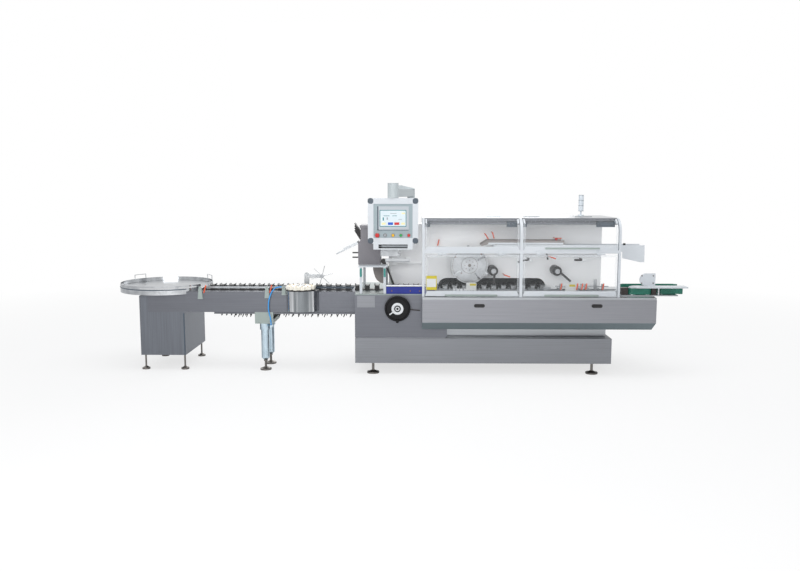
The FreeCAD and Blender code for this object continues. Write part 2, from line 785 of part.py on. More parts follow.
def make_roof():
    """Roof sheet with a deep front lip and four bolted plates on top."""
    lip_z = HOOD_TOP_Z - ROOF_LIP_HEIGHT
    outline = [
        (ROOF_FRONT_Y, lip_z),
        (ROOF_FRONT_Y + ROOF_THICKNESS, lip_z),
        (ROOF_FRONT_Y + 3 * ROOF_THICKNESS, HOOD_TOP_Z - ROOF_THICKNESS),
        (BASE_REAR_Y - HOOD_BEND_RADIUS, HOOD_TOP_Z - ROOF_THICKNESS),
        (BASE_REAR_Y - HOOD_BEND_RADIUS, HOOD_TOP_Z),
        (ROOF_FRONT_Y, HOOD_TOP_Z),
    ]
    sheet = side_prism(outline, HOOD_LEFT_X, HOOD_RIGHT_X)
    plates = []
    plate_y = BASE_FRONT_Y + ROOF_PLATE_SETBACK
    for offset, length in ROOF_PLATES:
        x = HOOD_LEFT_X + offset
        top = HOOD_TOP_Z + ROOF_PLATE_THICKNESS
        plates.append(block(x, x + length, plate_y, plate_y + ROOF_PLATE_DEPTH, HOOD_TOP_Z, top))
    export("hood_roof", fused(sheet, *plates))


def make_roof_brackets():
    """Dark brackets behind the upper doors, on the front of the roof lip."""
    top = HOOD_TOP_Z - ROOF_BRACKET_TOP
    brackets = []
    for offset, length in ROOF_BRACKETS:
        x = HOOD_LEFT_X + offset
        y0 = ROOF_FRONT_Y - ROOF_BRACKET_DEPTH
        brackets.append(block(x, x + length, y0, ROOF_FRONT_Y, top - ROOF_BRACKET_HEIGHT, top))
    export("roof_brackets", *brackets)


def make_posts():
    spans = (
        (HOOD_LEFT_X, HOOD_LEFT_X + POST_WIDTH),
        (LEFT_BAY[1], RIGHT_BAY[0]),
        (HOOD_RIGHT_X - POST_WIDTH, HOOD_RIGHT_X),
    )
    export("guard_posts", *[bent_band(x0, x1, 0.0, POST_DEPTH, SILL_Z) for x0, x1 in spans])


def fixed_knuckles(bay):
    """Fixed knuckles under the mid rail, one at the left of each moving knuckle."""
    pin_y, pin_z = hinge_line()
    x0 = bay[0] + RUN_GAP
    span = bay[1] - bay[0] - 2 * RUN_GAP
    knuckles = []
    for share in (HINGE_SHARE, 1 - HINGE_SHARE):
        end = x0 + span * share - HINGE_GAP
        start = end - HINGE_LENGTH
        barrel = rod(HINGE_RADIUS, vec(start, pin_y, pin_z), vec(end, pin_y, pin_z))
        leaf = block(start, end, pin_y - HINGE_RADIUS, HOOD_Y, pin_z, MID_RAIL_TOP_Z - RUN_GAP)
        knuckles.append(fused(barrel, leaf))
    return knuckles


def make_mid_rails():
    rails = []
    for bay in (LEFT_BAY, RIGHT_BAY):
        rail = block(bay[0], bay[1], HOOD_Y, HOOD_Y + RAIL_DEPTH, MID_RAIL_BOTTOM_Z, MID_RAIL_TOP_Z)
        rails.append(fused(rail, *fixed_knuckles(bay)))
    export("guard_mid_rails", *rails)


# Guard doors

def upper_door(bay):
    """Fixed curved door: bottom rail, two bent stiles, top rail and a clear pane between them."""
    x0 = bay[0] + RUN_GAP
    x1 = bay[1] - RUN_GAP
    z0 = MID_RAIL_TOP_Z + SEAT_GAP
    left = bent_band(x0, x0 + DOOR_STILE_WIDTH, 0.0, DOOR_RAIL_DEPTH, z0)
    right = bent_band(x1 - DOOR_STILE_WIDTH, x1, 0.0, DOOR_RAIL_DEPTH, z0)
    rail = block(x0, x1, HOOD_Y, HOOD_Y + DOOR_RAIL_DEPTH, z0, z0 + UPPER_RAIL_HEIGHT)
    top_slab = block(x0, x1, ROOF_FRONT_Y - 2 * DOOR_RAIL_DEPTH, ROOF_FRONT_Y, POST_BEND_Z, HOOD_TOP_Z)
    top_rail = top_slab.common(bent_band(x0, x1, 0.0, DOOR_RAIL_DEPTH, z0))
    frame = fused(left, right, rail, top_rail)
    pane_x0 = x0 + DOOR_STILE_WIDTH
    pane_x1 = x1 - DOOR_STILE_WIDTH
    pane = bent_band(pane_x0, pane_x1, PANE_SETBACK, DOOR_PANE, z0 + UPPER_RAIL_HEIGHT)
    return frame, pane.cut(frame)


def grip_strip(x, length, z):
    """Folded handle strip on the front of a door rail."""
    outline = [
        (x, z - GRIP_HEIGHT),
        (x + length, z - GRIP_HEIGHT),
        (x + length - GRIP_HEIGHT, z + GRIP_HEIGHT),
        (x + GRIP_HEIGHT, z + GRIP_HEIGHT),
    ]
    return front_prism(outline, HOOD_Y - GRIP_DEPTH, HOOD_Y)


def make_upper_doors():
    left, left_pane = upper_door(LEFT_BAY)
    right, right_pane = upper_door(RIGHT_BAY)
    grip_z = MID_RAIL_TOP_Z + SEAT_GAP + UPPER_RAIL_HEIGHT / 2.0
    grip = grip_strip(RIGHT_BAY[0] + UPPER_GRIP_OFFSET, UPPER_GRIP_LENGTH, grip_z)
    export("upper_doors", left, fused(right, grip))
    export("upper_panes", left_pane, right_pane)


def hinge_line():
    """Height and depth of the pin line above the lower doors."""
    return HOOD_Y - HINGE_RADIUS, MID_RAIL_BOTTOM_Z - HINGE_DROP


def make_lower_door(side, bay, grip_offset):
    """Door that lifts about pins under the mid rail."""
    pin_y, pin_z = hinge_line()
    x0 = bay[0] + RUN_GAP
    x1 = bay[1] - RUN_GAP
    top = pin_z - RUN_GAP
    bottom = SILL_Z + RUN_GAP
    y1 = HOOD_Y + DOOR_RAIL_DEPTH
    outer = block(x0, x1, HOOD_Y, y1, bottom, top)
    window = block(
        x0 + DOOR_STILE_WIDTH,
        x1 - DOOR_STILE_WIDTH,
        HOOD_Y,
        y1,
        bottom + LOWER_BOTTOM_RAIL_HEIGHT,
        top - LOWER_TOP_RAIL_HEIGHT,
    )
    frame = outer.cut(window)
    grip_x = bay[0] + grip_offset
    grip_z = bottom + LOWER_BOTTOM_RAIL_HEIGHT / 2.0
    grip = grip_strip(grip_x, GRIP_LENGTH, grip_z)
    span = x1 - x0
    knuckles = []
    for share in (HINGE_SHARE, 1 - HINGE_SHARE):
        middle = x0 + span * share
        barrel = rod(HINGE_RADIUS, vec(middle, pin_y, pin_z), vec(middle + HINGE_LENGTH, pin_y, pin_z))
        leaf = block(
            middle,
            middle + HINGE_LENGTH,
            pin_y - HINGE_RADIUS,
            HOOD_Y,
            top - 3 * HINGE_RADIUS,
            pin_z,
        )
        knuckles.append(fused(barrel, leaf))
    export("lower_door_" + side, fused(frame, grip, *knuckles))
    pane_y = HOOD_Y + (DOOR_RAIL_DEPTH - DOOR_PANE) / 2.0
    pane = block(
        x0 + DOOR_STILE_WIDTH,
        x1 - DOOR_STILE_WIDTH,
        pane_y,
        pane_y + DOOR_PANE,
        bottom + LOWER_BOTTOM_RAIL_HEIGHT,
        top - LOWER_TOP_RAIL_HEIGHT,
    )
    export("lower_pane_" + side, pane)


# Operator panel and its arm

def make_arm():
    post_y = BASE_FRONT_Y + ARM_POST_SETBACK
    cup_y = BASE_FRONT_Y + ARM_CUP_SETBACK
    post = rod(ARM_POST_RADIUS, vec(ARM_POST_X, post_y, PLATE_LEFT_TOP_Z), vec(ARM_POST_X, post_y, ARM_POST_TOP_Z))
    flange = rod(1.8 * ARM_POST_RADIUS, vec(ARM_POST_X, post_y, PLATE_LEFT_TOP_Z),
                 vec(ARM_POST_X, post_y, PLATE_LEFT_TOP_Z + ROOF_THICKNESS))
    export("arm_post", fused(post, flange))
    low = ARM_POST_TOP_Z + SEAT_GAP
    knuckle = rod(ARM_KNUCKLE_RADIUS, vec(ARM_POST_X, post_y, low), vec(ARM_POST_X, post_y, low + ARM_KNUCKLE_HEIGHT))
    panel_top = PANEL_BOTTOM_Z + PANEL_HEIGHT
    cup = rod(ARM_CUP_RADIUS, vec(ARM_CUP_X, cup_y, panel_top + SEAT_GAP), vec(ARM_CUP_X, cup_y, ARM_CUP_TOP_Z))
    along = vec(ARM_CUP_X - ARM_POST_X, cup_y - post_y, 0)
    across = vec(-along.y, along.x, 0).normalize()
    start = vec(ARM_POST_X, post_y, 0)
    end = vec(ARM_CUP_X, cup_y, 0)
    half = ARM_KNUCKLE_RADIUS * 0.9
    plan = [
        start.add(vec(across.x * half, across.y * half, 0)),
        start.sub(vec(across.x * half, across.y * half, 0)),
        end.sub(vec(across.x * ARM_CUP_RADIUS, across.y * ARM_CUP_RADIUS, 0)),
        end.add(vec(across.x * ARM_CUP_RADIUS, across.y * ARM_CUP_RADIUS, 0)),
    ]
    beam_z = low + ARM_KNUCKLE_HEIGHT - ARM_BEAM_HEIGHT
    beam = prism([vec(p.x, p.y, beam_z) for p in plan], vec(0, 0, ARM_BEAM_HEIGHT))
    export("swing_arm", fused(knuckle, cup, beam))


def rounded_block(x0, x1, y0, y1, z0, z1, radius):
    """Block whose four edges along Y are rounded."""
    shape = block(x0, x1, y0, y1, z0, z1)
    edges = [edge for edge in shape.Edges if abs(edge.tangentAt(0).y) > 0.99]
    return shape.makeFillet(radius, edges)


def make_panel():
    x0 = ARM_CUP_X - PANEL_WIDTH / 2.0
    x1 = ARM_CUP_X + PANEL_WIDTH / 2.0
    y0 = BASE_FRONT_Y + ARM_CUP_SETBACK - PANEL_DEPTH / 2.0
    y1 = y0 + PANEL_DEPTH
    z0 = PANEL_BOTTOM_Z
    z1 = PANEL_BOTTOM_Z + PANEL_HEIGHT
    shell = rounded_block(x0, x1, y0, y1, z0, z1, PANEL_CORNER)
    opening = block(x0 + PANEL_BORDER, x1 - PANEL_BORDER, y0, y0 + FACE_RECESS + FACE_THICKNESS, z0 + PANEL_BORDER, z1 - PANEL_BORDER)
    export("panel_frame", shell.cut(opening))
    face_y = y0 + FACE_RECESS
    face = block(x0 + PANEL_BORDER, x1 - PANEL_BORDER, face_y, face_y + FACE_THICKNESS, z0 + PANEL_BORDER, z1 - PANEL_BORDER)
    bezel_x0 = ARM_CUP_X - BEZEL_WIDTH / 2.0
    bezel_z1 = z1 - PANEL_BORDER - 24.0
    bezel = block(bezel_x0, bezel_x0 + BEZEL_WIDTH, face_y - BEZEL_DEPTH, face_y, bezel_z1 - BEZEL_HEIGHT, bezel_z1)
    screen_x0 = ARM_CUP_X - SCREEN_WIDTH / 2.0
    screen_z1 = bezel_z1 - (BEZEL_HEIGHT - SCREEN_HEIGHT) / 2.0
    hollow = block(
        screen_x0,
        screen_x0 + SCREEN_WIDTH,
        face_y - BEZEL_DEPTH,
        face_y - BEZEL_DEPTH + SCREEN_RECESS,
        screen_z1 - SCREEN_HEIGHT,
        screen_z1,
    )
    export("panel_face", fused(face, bezel).cut(hollow))
    stop = rod(STOP_RADIUS, vec(ARM_CUP_X - 2 * BUTTON_PITCH, face_y, BUTTON_Z),
               vec(ARM_CUP_X - 2 * BUTTON_PITCH, face_y - STOP_DEPTH, BUTTON_Z))
    buttons = [stop]
    for index in (-1, 0, 1, 2):
        x = ARM_CUP_X + index * BUTTON_PITCH
        buttons.append(rod(BUTTON_RADIUS, vec(x, face_y, BUTTON_Z), vec(x, face_y - BUTTON_DEPTH, BUTTON_Z)))
    export("panel_buttons", *buttons)
    tray = block(ARM_CUP_X - TRAY_WIDTH / 2.0, ARM_CUP_X + TRAY_WIDTH / 2.0, y0, y1, z0 - TRAY_HEIGHT, z0)
    tray_slot = block(
        ARM_CUP_X - TRAY_SLOT_WIDTH / 2.0,
        ARM_CUP_X + TRAY_SLOT_WIDTH / 2.0,
        y0,
        y0 + TRAY_SLOT_DEPTH,
        z0 - TRAY_HEIGHT + 2 * TRAY_WALL,
        z0 - TRAY_HEIGHT + 2 * TRAY_WALL + TRAY_SLOT_HEIGHT,
    )
    export("panel_tray", tray.cut(tray_slot))


# Handwheel

def make_handwheel():
    y1 = BASE_FRONT_Y - WHEEL_STANDOFF - SEAT_GAP
    y0 = y1 - WHEEL_DEPTH
    centre = vec(WHEEL_X, y1, WHEEL_Z)
    outline = [
        (0.0, 0.0),
        (WHEEL_RADIUS - 8, 0.0),
        (WHEEL_RADIUS, -8.0),
        (WHEEL_RADIUS, -WHEEL_DEPTH + 6),
        (WHEEL_RADIUS - 6, -WHEEL_DEPTH),
        (WHEEL_RADIUS - WHEEL_RIM, -WHEEL_DEPTH),
        (WHEEL_RADIUS - WHEEL_RIM - 6, -WHEEL_DEPTH + 10),
        (WHEEL_HUB_RADIUS, -WHEEL_DEPTH + 10),
        (0.0, -WHEEL_DEPTH + 10),
    ]
    points = [vec(WHEEL_X + r, y1 + d, WHEEL_Z) for r, d in outline]
    face = Part.Face(Part.makePolygon(points + [points[0]]))
    disc = face.revolve(centre, vec(0, 1, 0), 360)
    knob_z = WHEEL_Z - WHEEL_RADIUS + WHEEL_RIM / 2.0
    knob = rod(9.0, vec(WHEEL_X, y0, knob_z), vec(WHEEL_X, y0 - 34, knob_z))
    grip = Part.makeCone(9.0, 14.0, 26.0, vec(WHEEL_X, y0 - 34, knob_z), vec(0, -1, 0))
    export("handwheel", fused(disc, knob, grip))
    hub_y = y0 + 10
    ring = rod(WHEEL_HUB_RADIUS, vec(WHEEL_X, hub_y, WHEEL_Z), vec(WHEEL_X, hub_y - 12, WHEEL_Z))
    hollow = rod(WHEEL_HUB_BORE, vec(WHEEL_X, hub_y - 6, WHEEL_Z), vec(WHEEL_X, hub_y - 12, WHEEL_Z))
    cap = block(WHEEL_X - 16, WHEEL_X + 16, hub_y - 14, hub_y - 6, WHEEL_Z - 16, WHEEL_Z + 16)
    export("handwheel_hub", fused(ring.cut(hollow), cap))
    shaft = rod(WHEEL_SHAFT_RADIUS, vec(WHEEL_X, BASE_FRONT_Y, WHEEL_Z), vec(WHEEL_X, BASE_FRONT_Y - WHEEL_STANDOFF, WHEEL_Z))
    collar = rod(2 * WHEEL_SHAFT_RADIUS, vec(WHEEL_X, BASE_FRONT_Y, WHEEL_Z), vec(WHEEL_X, BASE_FRONT_Y - 8, WHEEL_Z))
    lever_y = BASE_FRONT_Y - LEVER_Y_OFFSET
    lever = rod(LEVER_RADIUS, vec(WHEEL_X, lever_y, WHEEL_Z), vec(WHEEL_X + LEVER_REACH, lever_y, WHEEL_Z - 24))
    export("clutch_lever", fused(shaft, collar, lever))


# Entry frame, blue guide and leaflet folder

def make_entry():
    y0 = BASE_FRONT_Y + ENTRY_FRONT
    x1 = ENTRY_LEFT_X + ENTRY_LENGTH
    under = ENTRY_TOP_Z - ENTRY_TOP_THICKNESS
    posts = []
    for x in (ENTRY_LEFT_X, x1 - ENTRY_POST):
        for y in (y0, y0 + ENTRY_DEPTH - ENTRY_POST):
            posts.append(block(x, x + ENTRY_POST, y, y + ENTRY_POST, DECK_Z, under))
    left = ENTRY_LEFT_X - ENTRY_OVERHANG
    right = x1 + ENTRY_OVERHANG
    top = block(left, right, y0, y0 + ENTRY_DEPTH, under, ENTRY_TOP_Z)
    belt_y0 = BASE_FRONT_Y + LEAFLET_BELT_FRONT - RUN_GAP
    belt_y1 = BASE_FRONT_Y + LEAFLET_BELT_FRONT + LEAFLET_BELT_WIDTH + RUN_GAP
    notch = block(x1 - ENTRY_NOTCH, right, belt_y0, belt_y1, under, ENTRY_TOP_Z)
    export("entry_frame", fused(top, *posts).cut(notch))
    blue_right = BLUE_LEFT_X + BLUE_LENGTH
    export("blue_guide", block(BLUE_LEFT_X, blue_right, y0, y0 + BLUE_THICKNESS, DECK_Z, DECK_Z + BLUE_HEIGHT))


def make_folder():
    """Leaflet folder: wide body, sloping shoulder, narrower neck and a cap."""
    y0 = BASE_FRONT_Y + FOLDER_FRONT
    y1 = y0 + FOLDER_DEPTH
    right = FOLDER_LEFT_X + FOLDER_LENGTH
    body_z = ENTRY_TOP_Z + FOLDER_BODY_HEIGHT
    top_z = ENTRY_TOP_Z + FOLDER_HEIGHT
    neck_x = FOLDER_LEFT_X + FOLDER_NECK_INSET
    outline = [
        (FOLDER_LEFT_X, ENTRY_TOP_Z),
        (right, ENTRY_TOP_Z),
        (right, top_z),
        (neck_x, top_z),
        (neck_x, body_z + FOLDER_SHOULDER),
        (FOLDER_LEFT_X, body_z),
    ]
    cap_x = neck_x - FOLDER_CAP_OVERHANG
    cap = block(cap_x, right, y0 - FOLDER_CAP_OVERHANG, y1, top_z - FOLDER_CAP_HEIGHT, top_z)
    export("leaflet_folder", fused(front_prism(outline, y0, y1), cap))


def slanted_bar(x, z, along, rise, thickness, y0, y1):
    """Flat bar seen edge-on from the front, from (x, z) by along and rise."""
    length = math.hypot(along, rise)
    side_x = -rise / length * thickness
    side_z = along / length * thickness
    outline = [
        (x, z),
        (x + along, z + rise),
        (x + along + side_x, z + rise + side_z),
        (x + side_x, z + side_z),
    ]
    return front_prism(outline, y0, y1)


def make_leaflet_forks():
    """Slanted fork bars and two stub rods on the left flank of the folder."""
    y0 = BASE_FRONT_Y + FOLDER_FRONT + FORK_PITCH
    body_z = ENTRY_TOP_Z + FOLDER_BODY_HEIGHT
    foot_x = FOLDER_LEFT_X + FOLDER_NECK_INSET
    foot_z = body_z + FOLDER_SHOULDER
    forks = []
    for index in range(FORK_COUNT):
        z = foot_z + index * FORK_PITCH
        lean = -FORK_LENGTH / 2.0
        forks.append(slanted_bar(foot_x, z, lean, FORK_LENGTH * 0.8, FORK_THICKNESS, y0, y0 + FORK_WIDTH))
    rods = []
    for z in (ENTRY_TOP_Z + FOLDER_BODY_HEIGHT * 0.35, ENTRY_TOP_Z + FOLDER_BODY_HEIGHT * 0.57):
        rods.append(rod(ROLLER_RADIUS * 0.6, vec(FOLDER_LEFT_X, y0, z), vec(FOLDER_LEFT_X - 60.0, y0, z)))
    roller_x = FOLDER_LEFT_X + FOLDER_LENGTH + BELT_ROLLER_RADIUS + RUN_GAP
    roller_z = ENTRY_TOP_Z + BELT_ROLLER_RADIUS + RUN_GAP
    belt_y = BASE_FRONT_Y + LEAFLET_BELT_FRONT
    roller = rod(
        BELT_ROLLER_RADIUS,
        vec(roller_x, belt_y, roller_z),
        vec(roller_x, belt_y + LEAFLET_BELT_WIDTH, roller_z),
    )
    belt_run = BLUE_LEFT_X - roller_x + BLUE_HEIGHT
    belt = slanted_bar(
        roller_x,
        roller_z,
        belt_run,
        DECK_Z - roller_z,
        LEAFLET_BELT_THICKNESS,
        belt_y,
        belt_y + LEAFLET_BELT_WIDTH,
    )
    under = block(roller_x, roller_x + 2 * belt_run, belt_y, belt_y + LEAFLET_BELT_WIDTH, 0.0, DECK_Z)
    export("leaflet_forks", *(forks + rods + [fused(roller, belt).cut(under)]))


def make_leaflet_chute():
    """Slanted feed table at the left, and the steel clip plate at the right of the folder."""
    y0 = BASE_FRONT_Y + FOLDER_FRONT + FORK_PITCH
    start_x = FOLDER_LEFT_X - CHUTE_LENGTH * 0.95
    start_z = ENTRY_TOP_Z + FOLDER_BODY_HEIGHT - CHUTE_RISE
    low = slanted_bar(
        start_x, start_z, CHUTE_LENGTH * 0.95, CHUTE_RISE * 0.95, CHUTE_THICKNESS / 2.0, y0, y0 + CHUTE_WIDTH
    )
    high_x = start_x + CHUTE_LENGTH * 0.35
    high_z = start_z + CHUTE_RISE * 0.35
    high = slanted_bar(
        high_x, high_z, CHUTE_LENGTH * 0.6, CHUTE_RISE * 0.6, CHUTE_THICKNESS, y0, y0 + CHUTE_WIDTH
    )
    body = block(FOLDER_LEFT_X, 0.0, y0, y0 + CHUTE_WIDTH, 0.0, HOOD_TOP_Z)
    chute = fused(low, high).cut(body)
    right = FOLDER_LEFT_X + FOLDER_LENGTH
    plate_y = BASE_FRONT_Y + FOLDER_FRONT + CLIP_PLATE_THICKNESS
    plate_z = ENTRY_TOP_Z + CLIP_PLATE_RISE
    plate = block(
        right, right + CLIP_PLATE_LENGTH, plate_y, plate_y + CLIP_PLATE_THICKNESS, plate_z, plate_z + CLIP_PLATE_HEIGHT
    )
    claws = []
    for share in (0.25, 0.85):
        z = plate_z + CLIP_PLATE_HEIGHT * share
        x = right + CLIP_PLATE_LENGTH
        claws.append(block(x, x + FORK_PITCH, plate_y, plate_y + CLIP_PLATE_THICKNESS, z - 4.0, z + 4.0))
        hook_x = x + FORK_PITCH - 8.0
        claws.append(block(hook_x, x + FORK_PITCH, plate_y, plate_y + CLIP_PLATE_THICKNESS, z - 18.0, z))
    export("leaflet_chute", chute, fused(plate, *claws))


# Picker, magazine, guide posts and carton track

def make_picker():
    y0 = BASE_FRONT_Y + PICKER_FRONT
    y1 = y0 + PICKER_DEPTH
    disc = rod(PICKER_RADIUS, vec(PICKER_X, y1, PICKER_Z), vec(PICKER_X, y0, PICKER_Z))
    hub = rod(PICKER_HUB_RADIUS, vec(PICKER_X, y0, PICKER_Z), vec(PICKER_X, y0 - PICKER_HUB_DEPTH, PICKER_Z))
    for index in range(8):
        angle = 2 * math.pi * index / 8
        hole_x = PICKER_X + 0.6 * PICKER_HUB_RADIUS * math.cos(angle)
        hole_z = PICKER_Z + 0.6 * PICKER_HUB_RADIUS * math.sin(angle)
        hub = hub.cut(rod(6.0, vec(hole_x, y0 - PICKER_HUB_DEPTH - 1, hole_z), vec(hole_x, y0 - PICKER_HUB_DEPTH / 2, hole_z)))
    arms = []
    for index in range(3):
        arm = block(
            PICKER_X + PICKER_HUB_RADIUS + 30,
            PICKER_X + PICKER_ARM_REACH - 4,
            y0 - 30,
            y0,
            PICKER_Z - 12,
            PICKER_Z + 12,
        )
        arm.rotate(vec(PICKER_X, y0, PICKER_Z), vec(0, 1, 0), 145 + 120 * index)
        arms.append(arm)
    export("carton_picker", fused(disc, hub, *arms))


def make_magazine():
    y0 = BASE_FRONT_Y + MAG_FRONT
    y1 = y0 + MAG_WIDTH
    top = MAG_FLOOR_Z + MAG_HEIGHT
    outer = block(MAG_LEFT_X, MAG_RIGHT_X, y0, y1, MAG_FLOOR_Z, top)
    inner = block(MAG_LEFT_X, MAG_RIGHT_X, y0 + MAG_WALL, y1 - MAG_WALL, MAG_FLOOR_Z + MAG_WALL, top)
    mounts = []
    for x in (MAG_LEFT_X + MAG_MOUNT_INSET, PLATE_RIGHT_X - MAG_MOUNT_INSET):
        mounts.append(block(x, x + MAG_MOUNT_WIDTH, y1, PLATE_Y, MAG_FLOOR_Z, top))
    low = MAG_FLOOR_Z - MAG_FENCE_DROP
    fence = front_prism(
        [
            (MAG_FENCE_LEFT_X, MAG_FLOOR_Z + MAG_WALL),
            (MAG_FENCE_LEFT_X, low + MAG_FENCE_SLOPE),
            (MAG_RIGHT_X - MAG_FENCE_SLOPE, low),
            (MAG_RIGHT_X, low),
            (MAG_RIGHT_X, MAG_FLOOR_Z + MAG_WALL),
        ],
        y0 - MAG_FENCE_THICKNESS,
        y0,
    )
    export("magazine_channel", fused(outer.cut(inner), fence, *mounts))


def make_magazine_guides():
    """Two guide strips above the channel walls, bent down towards the picker."""
    z0 = MAG_FLOOR_Z + MAG_HEIGHT + MAG_GUIDE_GAP
    z1 = z0 + MAG_GUIDE_HEIGHT
    toe_x = MAG_GUIDE_LEFT_X - MAG_TOE_LENGTH
    right = MAG_GUIDE_LEFT_X + MAG_GUIDE_LENGTH
    outline = [
        (toe_x, z0 - MAG_TOE_DROP + MAG_GUIDE_HEIGHT / 2.0),
        (MAG_GUIDE_LEFT_X, z0),
        (right, z0),
        (right, z1),
        (MAG_GUIDE_LEFT_X, z1),
        (toe_x, z1 - MAG_TOE_DROP),
    ]
    front_y = BASE_FRONT_Y + MAG_FRONT
    rear_y = front_y + MAG_WIDTH - MAG_GUIDE_WIDTH
    strips = []
    for y in (front_y, rear_y):
        strip = front_prism(outline, y, y + MAG_GUIDE_WIDTH)
        pads = []
        for x in (MAG_LEFT_X + MAG_GUIDE_WIDTH, right - 2 * MAG_GUIDE_WIDTH):
            pads.append(block(x, x + MAG_GUIDE_WIDTH, y, y + MAG_GUIDE_WIDTH, MAG_FLOOR_Z + MAG_HEIGHT, z0))
        strips.append(fused(strip, *pads))
    export("magazine_guides", *strips)


def make_guide_posts():
    spindle_end = BASE_FRONT_Y + PICKER_FRONT + PICKER_DEPTH + SEAT_GAP
    posts = [rod(SPINDLE_RADIUS, vec(PICKER_X, PLATE_Y, PICKER_Z), vec(PICKER_X, spindle_end, PICKER_Z))]
    front = BASE_FRONT_Y + PICKER_FRONT
    for x, end in zip(GUIDE_POST_XS, GUIDE_ARM_ENDS):
        big = rod(GUIDE_POST_RADIUS, vec(x, PLATE_Y, GUIDE_POST_Z), vec(x, front, GUIDE_POST_Z))
        hub = rod(GUIDE_HUB_RADIUS, vec(x, front, GUIDE_POST_Z), vec(x, front - GUIDE_HUB_LENGTH, GUIDE_POST_Z))
        arm_y = front - GUIDE_HUB_LENGTH
        arm = slanted_bar(x, GUIDE_POST_Z, end[0], end[1], GUIDE_ARM_WIDTH, arm_y, arm_y + GUIDE_ARM_THICKNESS)
        posts.append(fused(big, hub, arm))
    export("guide_posts", *posts)


def make_track():
    """Two rails with four rollers on the front one, and the carton lugs between them."""
    rail_top = DECK_Z + TRACK_RAIL_HEIGHT
    front = block(TRACK_LEFT_X, TRACK_RIGHT_X, TRACK_FRONT_Y, TRACK_FRONT_Y + TRACK_RAIL_WIDTH, DECK_Z, rail_top)
    rear = block(TRACK_LEFT_X, TRACK_RIGHT_X, TRACK_REAR_Y - TRACK_RAIL_WIDTH, TRACK_REAR_Y, DECK_Z, rail_top)
    rollers = []
    for index in range(ROLLER_COUNT):
        x = ROLLER_LEFT_X + index * ROLLER_PITCH
        z = rail_top - ROLLER_RADIUS
        rollers.append(rod(ROLLER_RADIUS, vec(x, TRACK_FRONT_Y, z), vec(x, TRACK_FRONT_Y - ROLLER_LENGTH, z)))
    lugs = []
    y0 = TRACK_FRONT_Y + TRACK_RAIL_WIDTH + LUG_CLEARANCE
    y1 = TRACK_REAR_Y - TRACK_RAIL_WIDTH - LUG_CLEARANCE
    count = int((CABINET_RIGHT_X - TRACK_LEFT_X) / LUG_PITCH)
    for index in range(count):
        x = TRACK_LEFT_X + LUG_PITCH * (index + 0.5)
        lugs.append(block(x, x + LUG_THICKNESS, y0, y1, DECK_Z, DECK_Z + LUG_HEIGHT))
    export("carton_track", fused(front, *rollers), rear, *lugs)


def make_clamps():
    """Clamp blocks on the front rail joined by a round bar, a sensor column and a bearing block."""
    z0 = DECK_Z + TRACK_RAIL_HEIGHT
    y0 = TRACK_FRONT_Y
    y1 = y0 + CLAMP_DEPTH
    bar_z = z0 + CLAMP_HEIGHT * 0.6
    bar_y = y0 + CLAMP_DEPTH / 2.0
    bar_x0 = CLAMP_XS[0] - TOP_ROD_REACH
    bar_x1 = CLAMP_XS[-1] + CLAMP_WIDTH + TOP_ROD_REACH
    parts = [rod(TOP_ROD_RADIUS, vec(bar_x0, bar_y, bar_z), vec(bar_x1, bar_y, bar_z))]
    for x in CLAMP_XS:
        parts.append(block(x, x + CLAMP_WIDTH, y0, y1, z0, z0 + CLAMP_HEIGHT))
    parts.append(block(COLUMN_X, COLUMN_X + CLAMP_WIDTH, y0, y1, z0, z0 + COLUMN_HEIGHT))
    bearing = block(BEARING_X, BEARING_X + BEARING_LENGTH, y0, y1, z0, z0 + BEARING_HEIGHT)
    export("carton_clamps", fused(*parts), bearing)


def stem_lever(x, z, turn, y, back_y):
    """Bent lever on a thin stem that runs back to the plate."""
    bar = block(x, x + LEVER_LENGTH, y, y + LEVER_THICKNESS, z - LEVER_WIDTH / 2.0, z + LEVER_WIDTH / 2.0)
    bar.rotate(vec(x, y, z), vec(0, -1, 0), turn)
    stem = rod(STEM_RADIUS, vec(x, y, z), vec(x, back_y, z))
    return fused(bar, stem)


def make_levers():
    """Orange levers of the clamps, of the plate and of the infeed brackets."""
    levers = []
    lever_z = DECK_Z + TRACK_RAIL_HEIGHT + LEVER_WIDTH / 2.0
    for x in CLAMP_XS:
        middle = x + CLAMP_WIDTH / 2.0
        levers.append(
            slanted_bar(middle, lever_z, LEVER_WIDTH, LEVER_LENGTH, LEVER_WIDTH, TRACK_FRONT_Y - LEVER_THICKNESS, TRACK_FRONT_Y)
        )
    for x, z, turn, setback in PLATE_LEVERS:
        levers.append(stem_lever(x, z, turn, BASE_FRONT_Y + setback, PLATE_Y))
    for x, z in INFEED_LEVERS:
        lever_y = BEAM_FRONT_Y - LEVER_THICKNESS
        levers.append(slanted_bar(x, z, INFEED_LEVER_LEAN, INFEED_LEVER_RISE, LEVER_WIDTH, lever_y, BEAM_FRONT_Y))
    export("orange_levers", *levers)


# Infeed conveyor

def make_beam():
    """Closed conveyor beam, open below for the return side of the chain."""
    beam = block(BEAM_LEFT_X, BASE_LEFT_X, BEAM_FRONT_Y, BEAM_REAR_Y, BEAM_BOTTOM_Z, BEAM_TOP_Z)
    slot = block(
        CHAIN_LEFT_X,
        BASE_LEFT_X,
        LINE_Y - BEAM_SLOT_WIDTH / 2.0,
        LINE_Y + BEAM_SLOT_WIDTH / 2.0,
        BEAM_BOTTOM_Z,
        BEAM_BOTTOM_Z + BEAM_SLOT_DEPTH,
    )
    export("infeed_beam", beam.cut(slot))


def pusher_starts():
    count = int(CHAIN_LENGTH / PUSHER_PITCH)
    return [CHAIN_LEFT_X + PUSHER_PITCH * (index + 0.5) for index in range(count)]


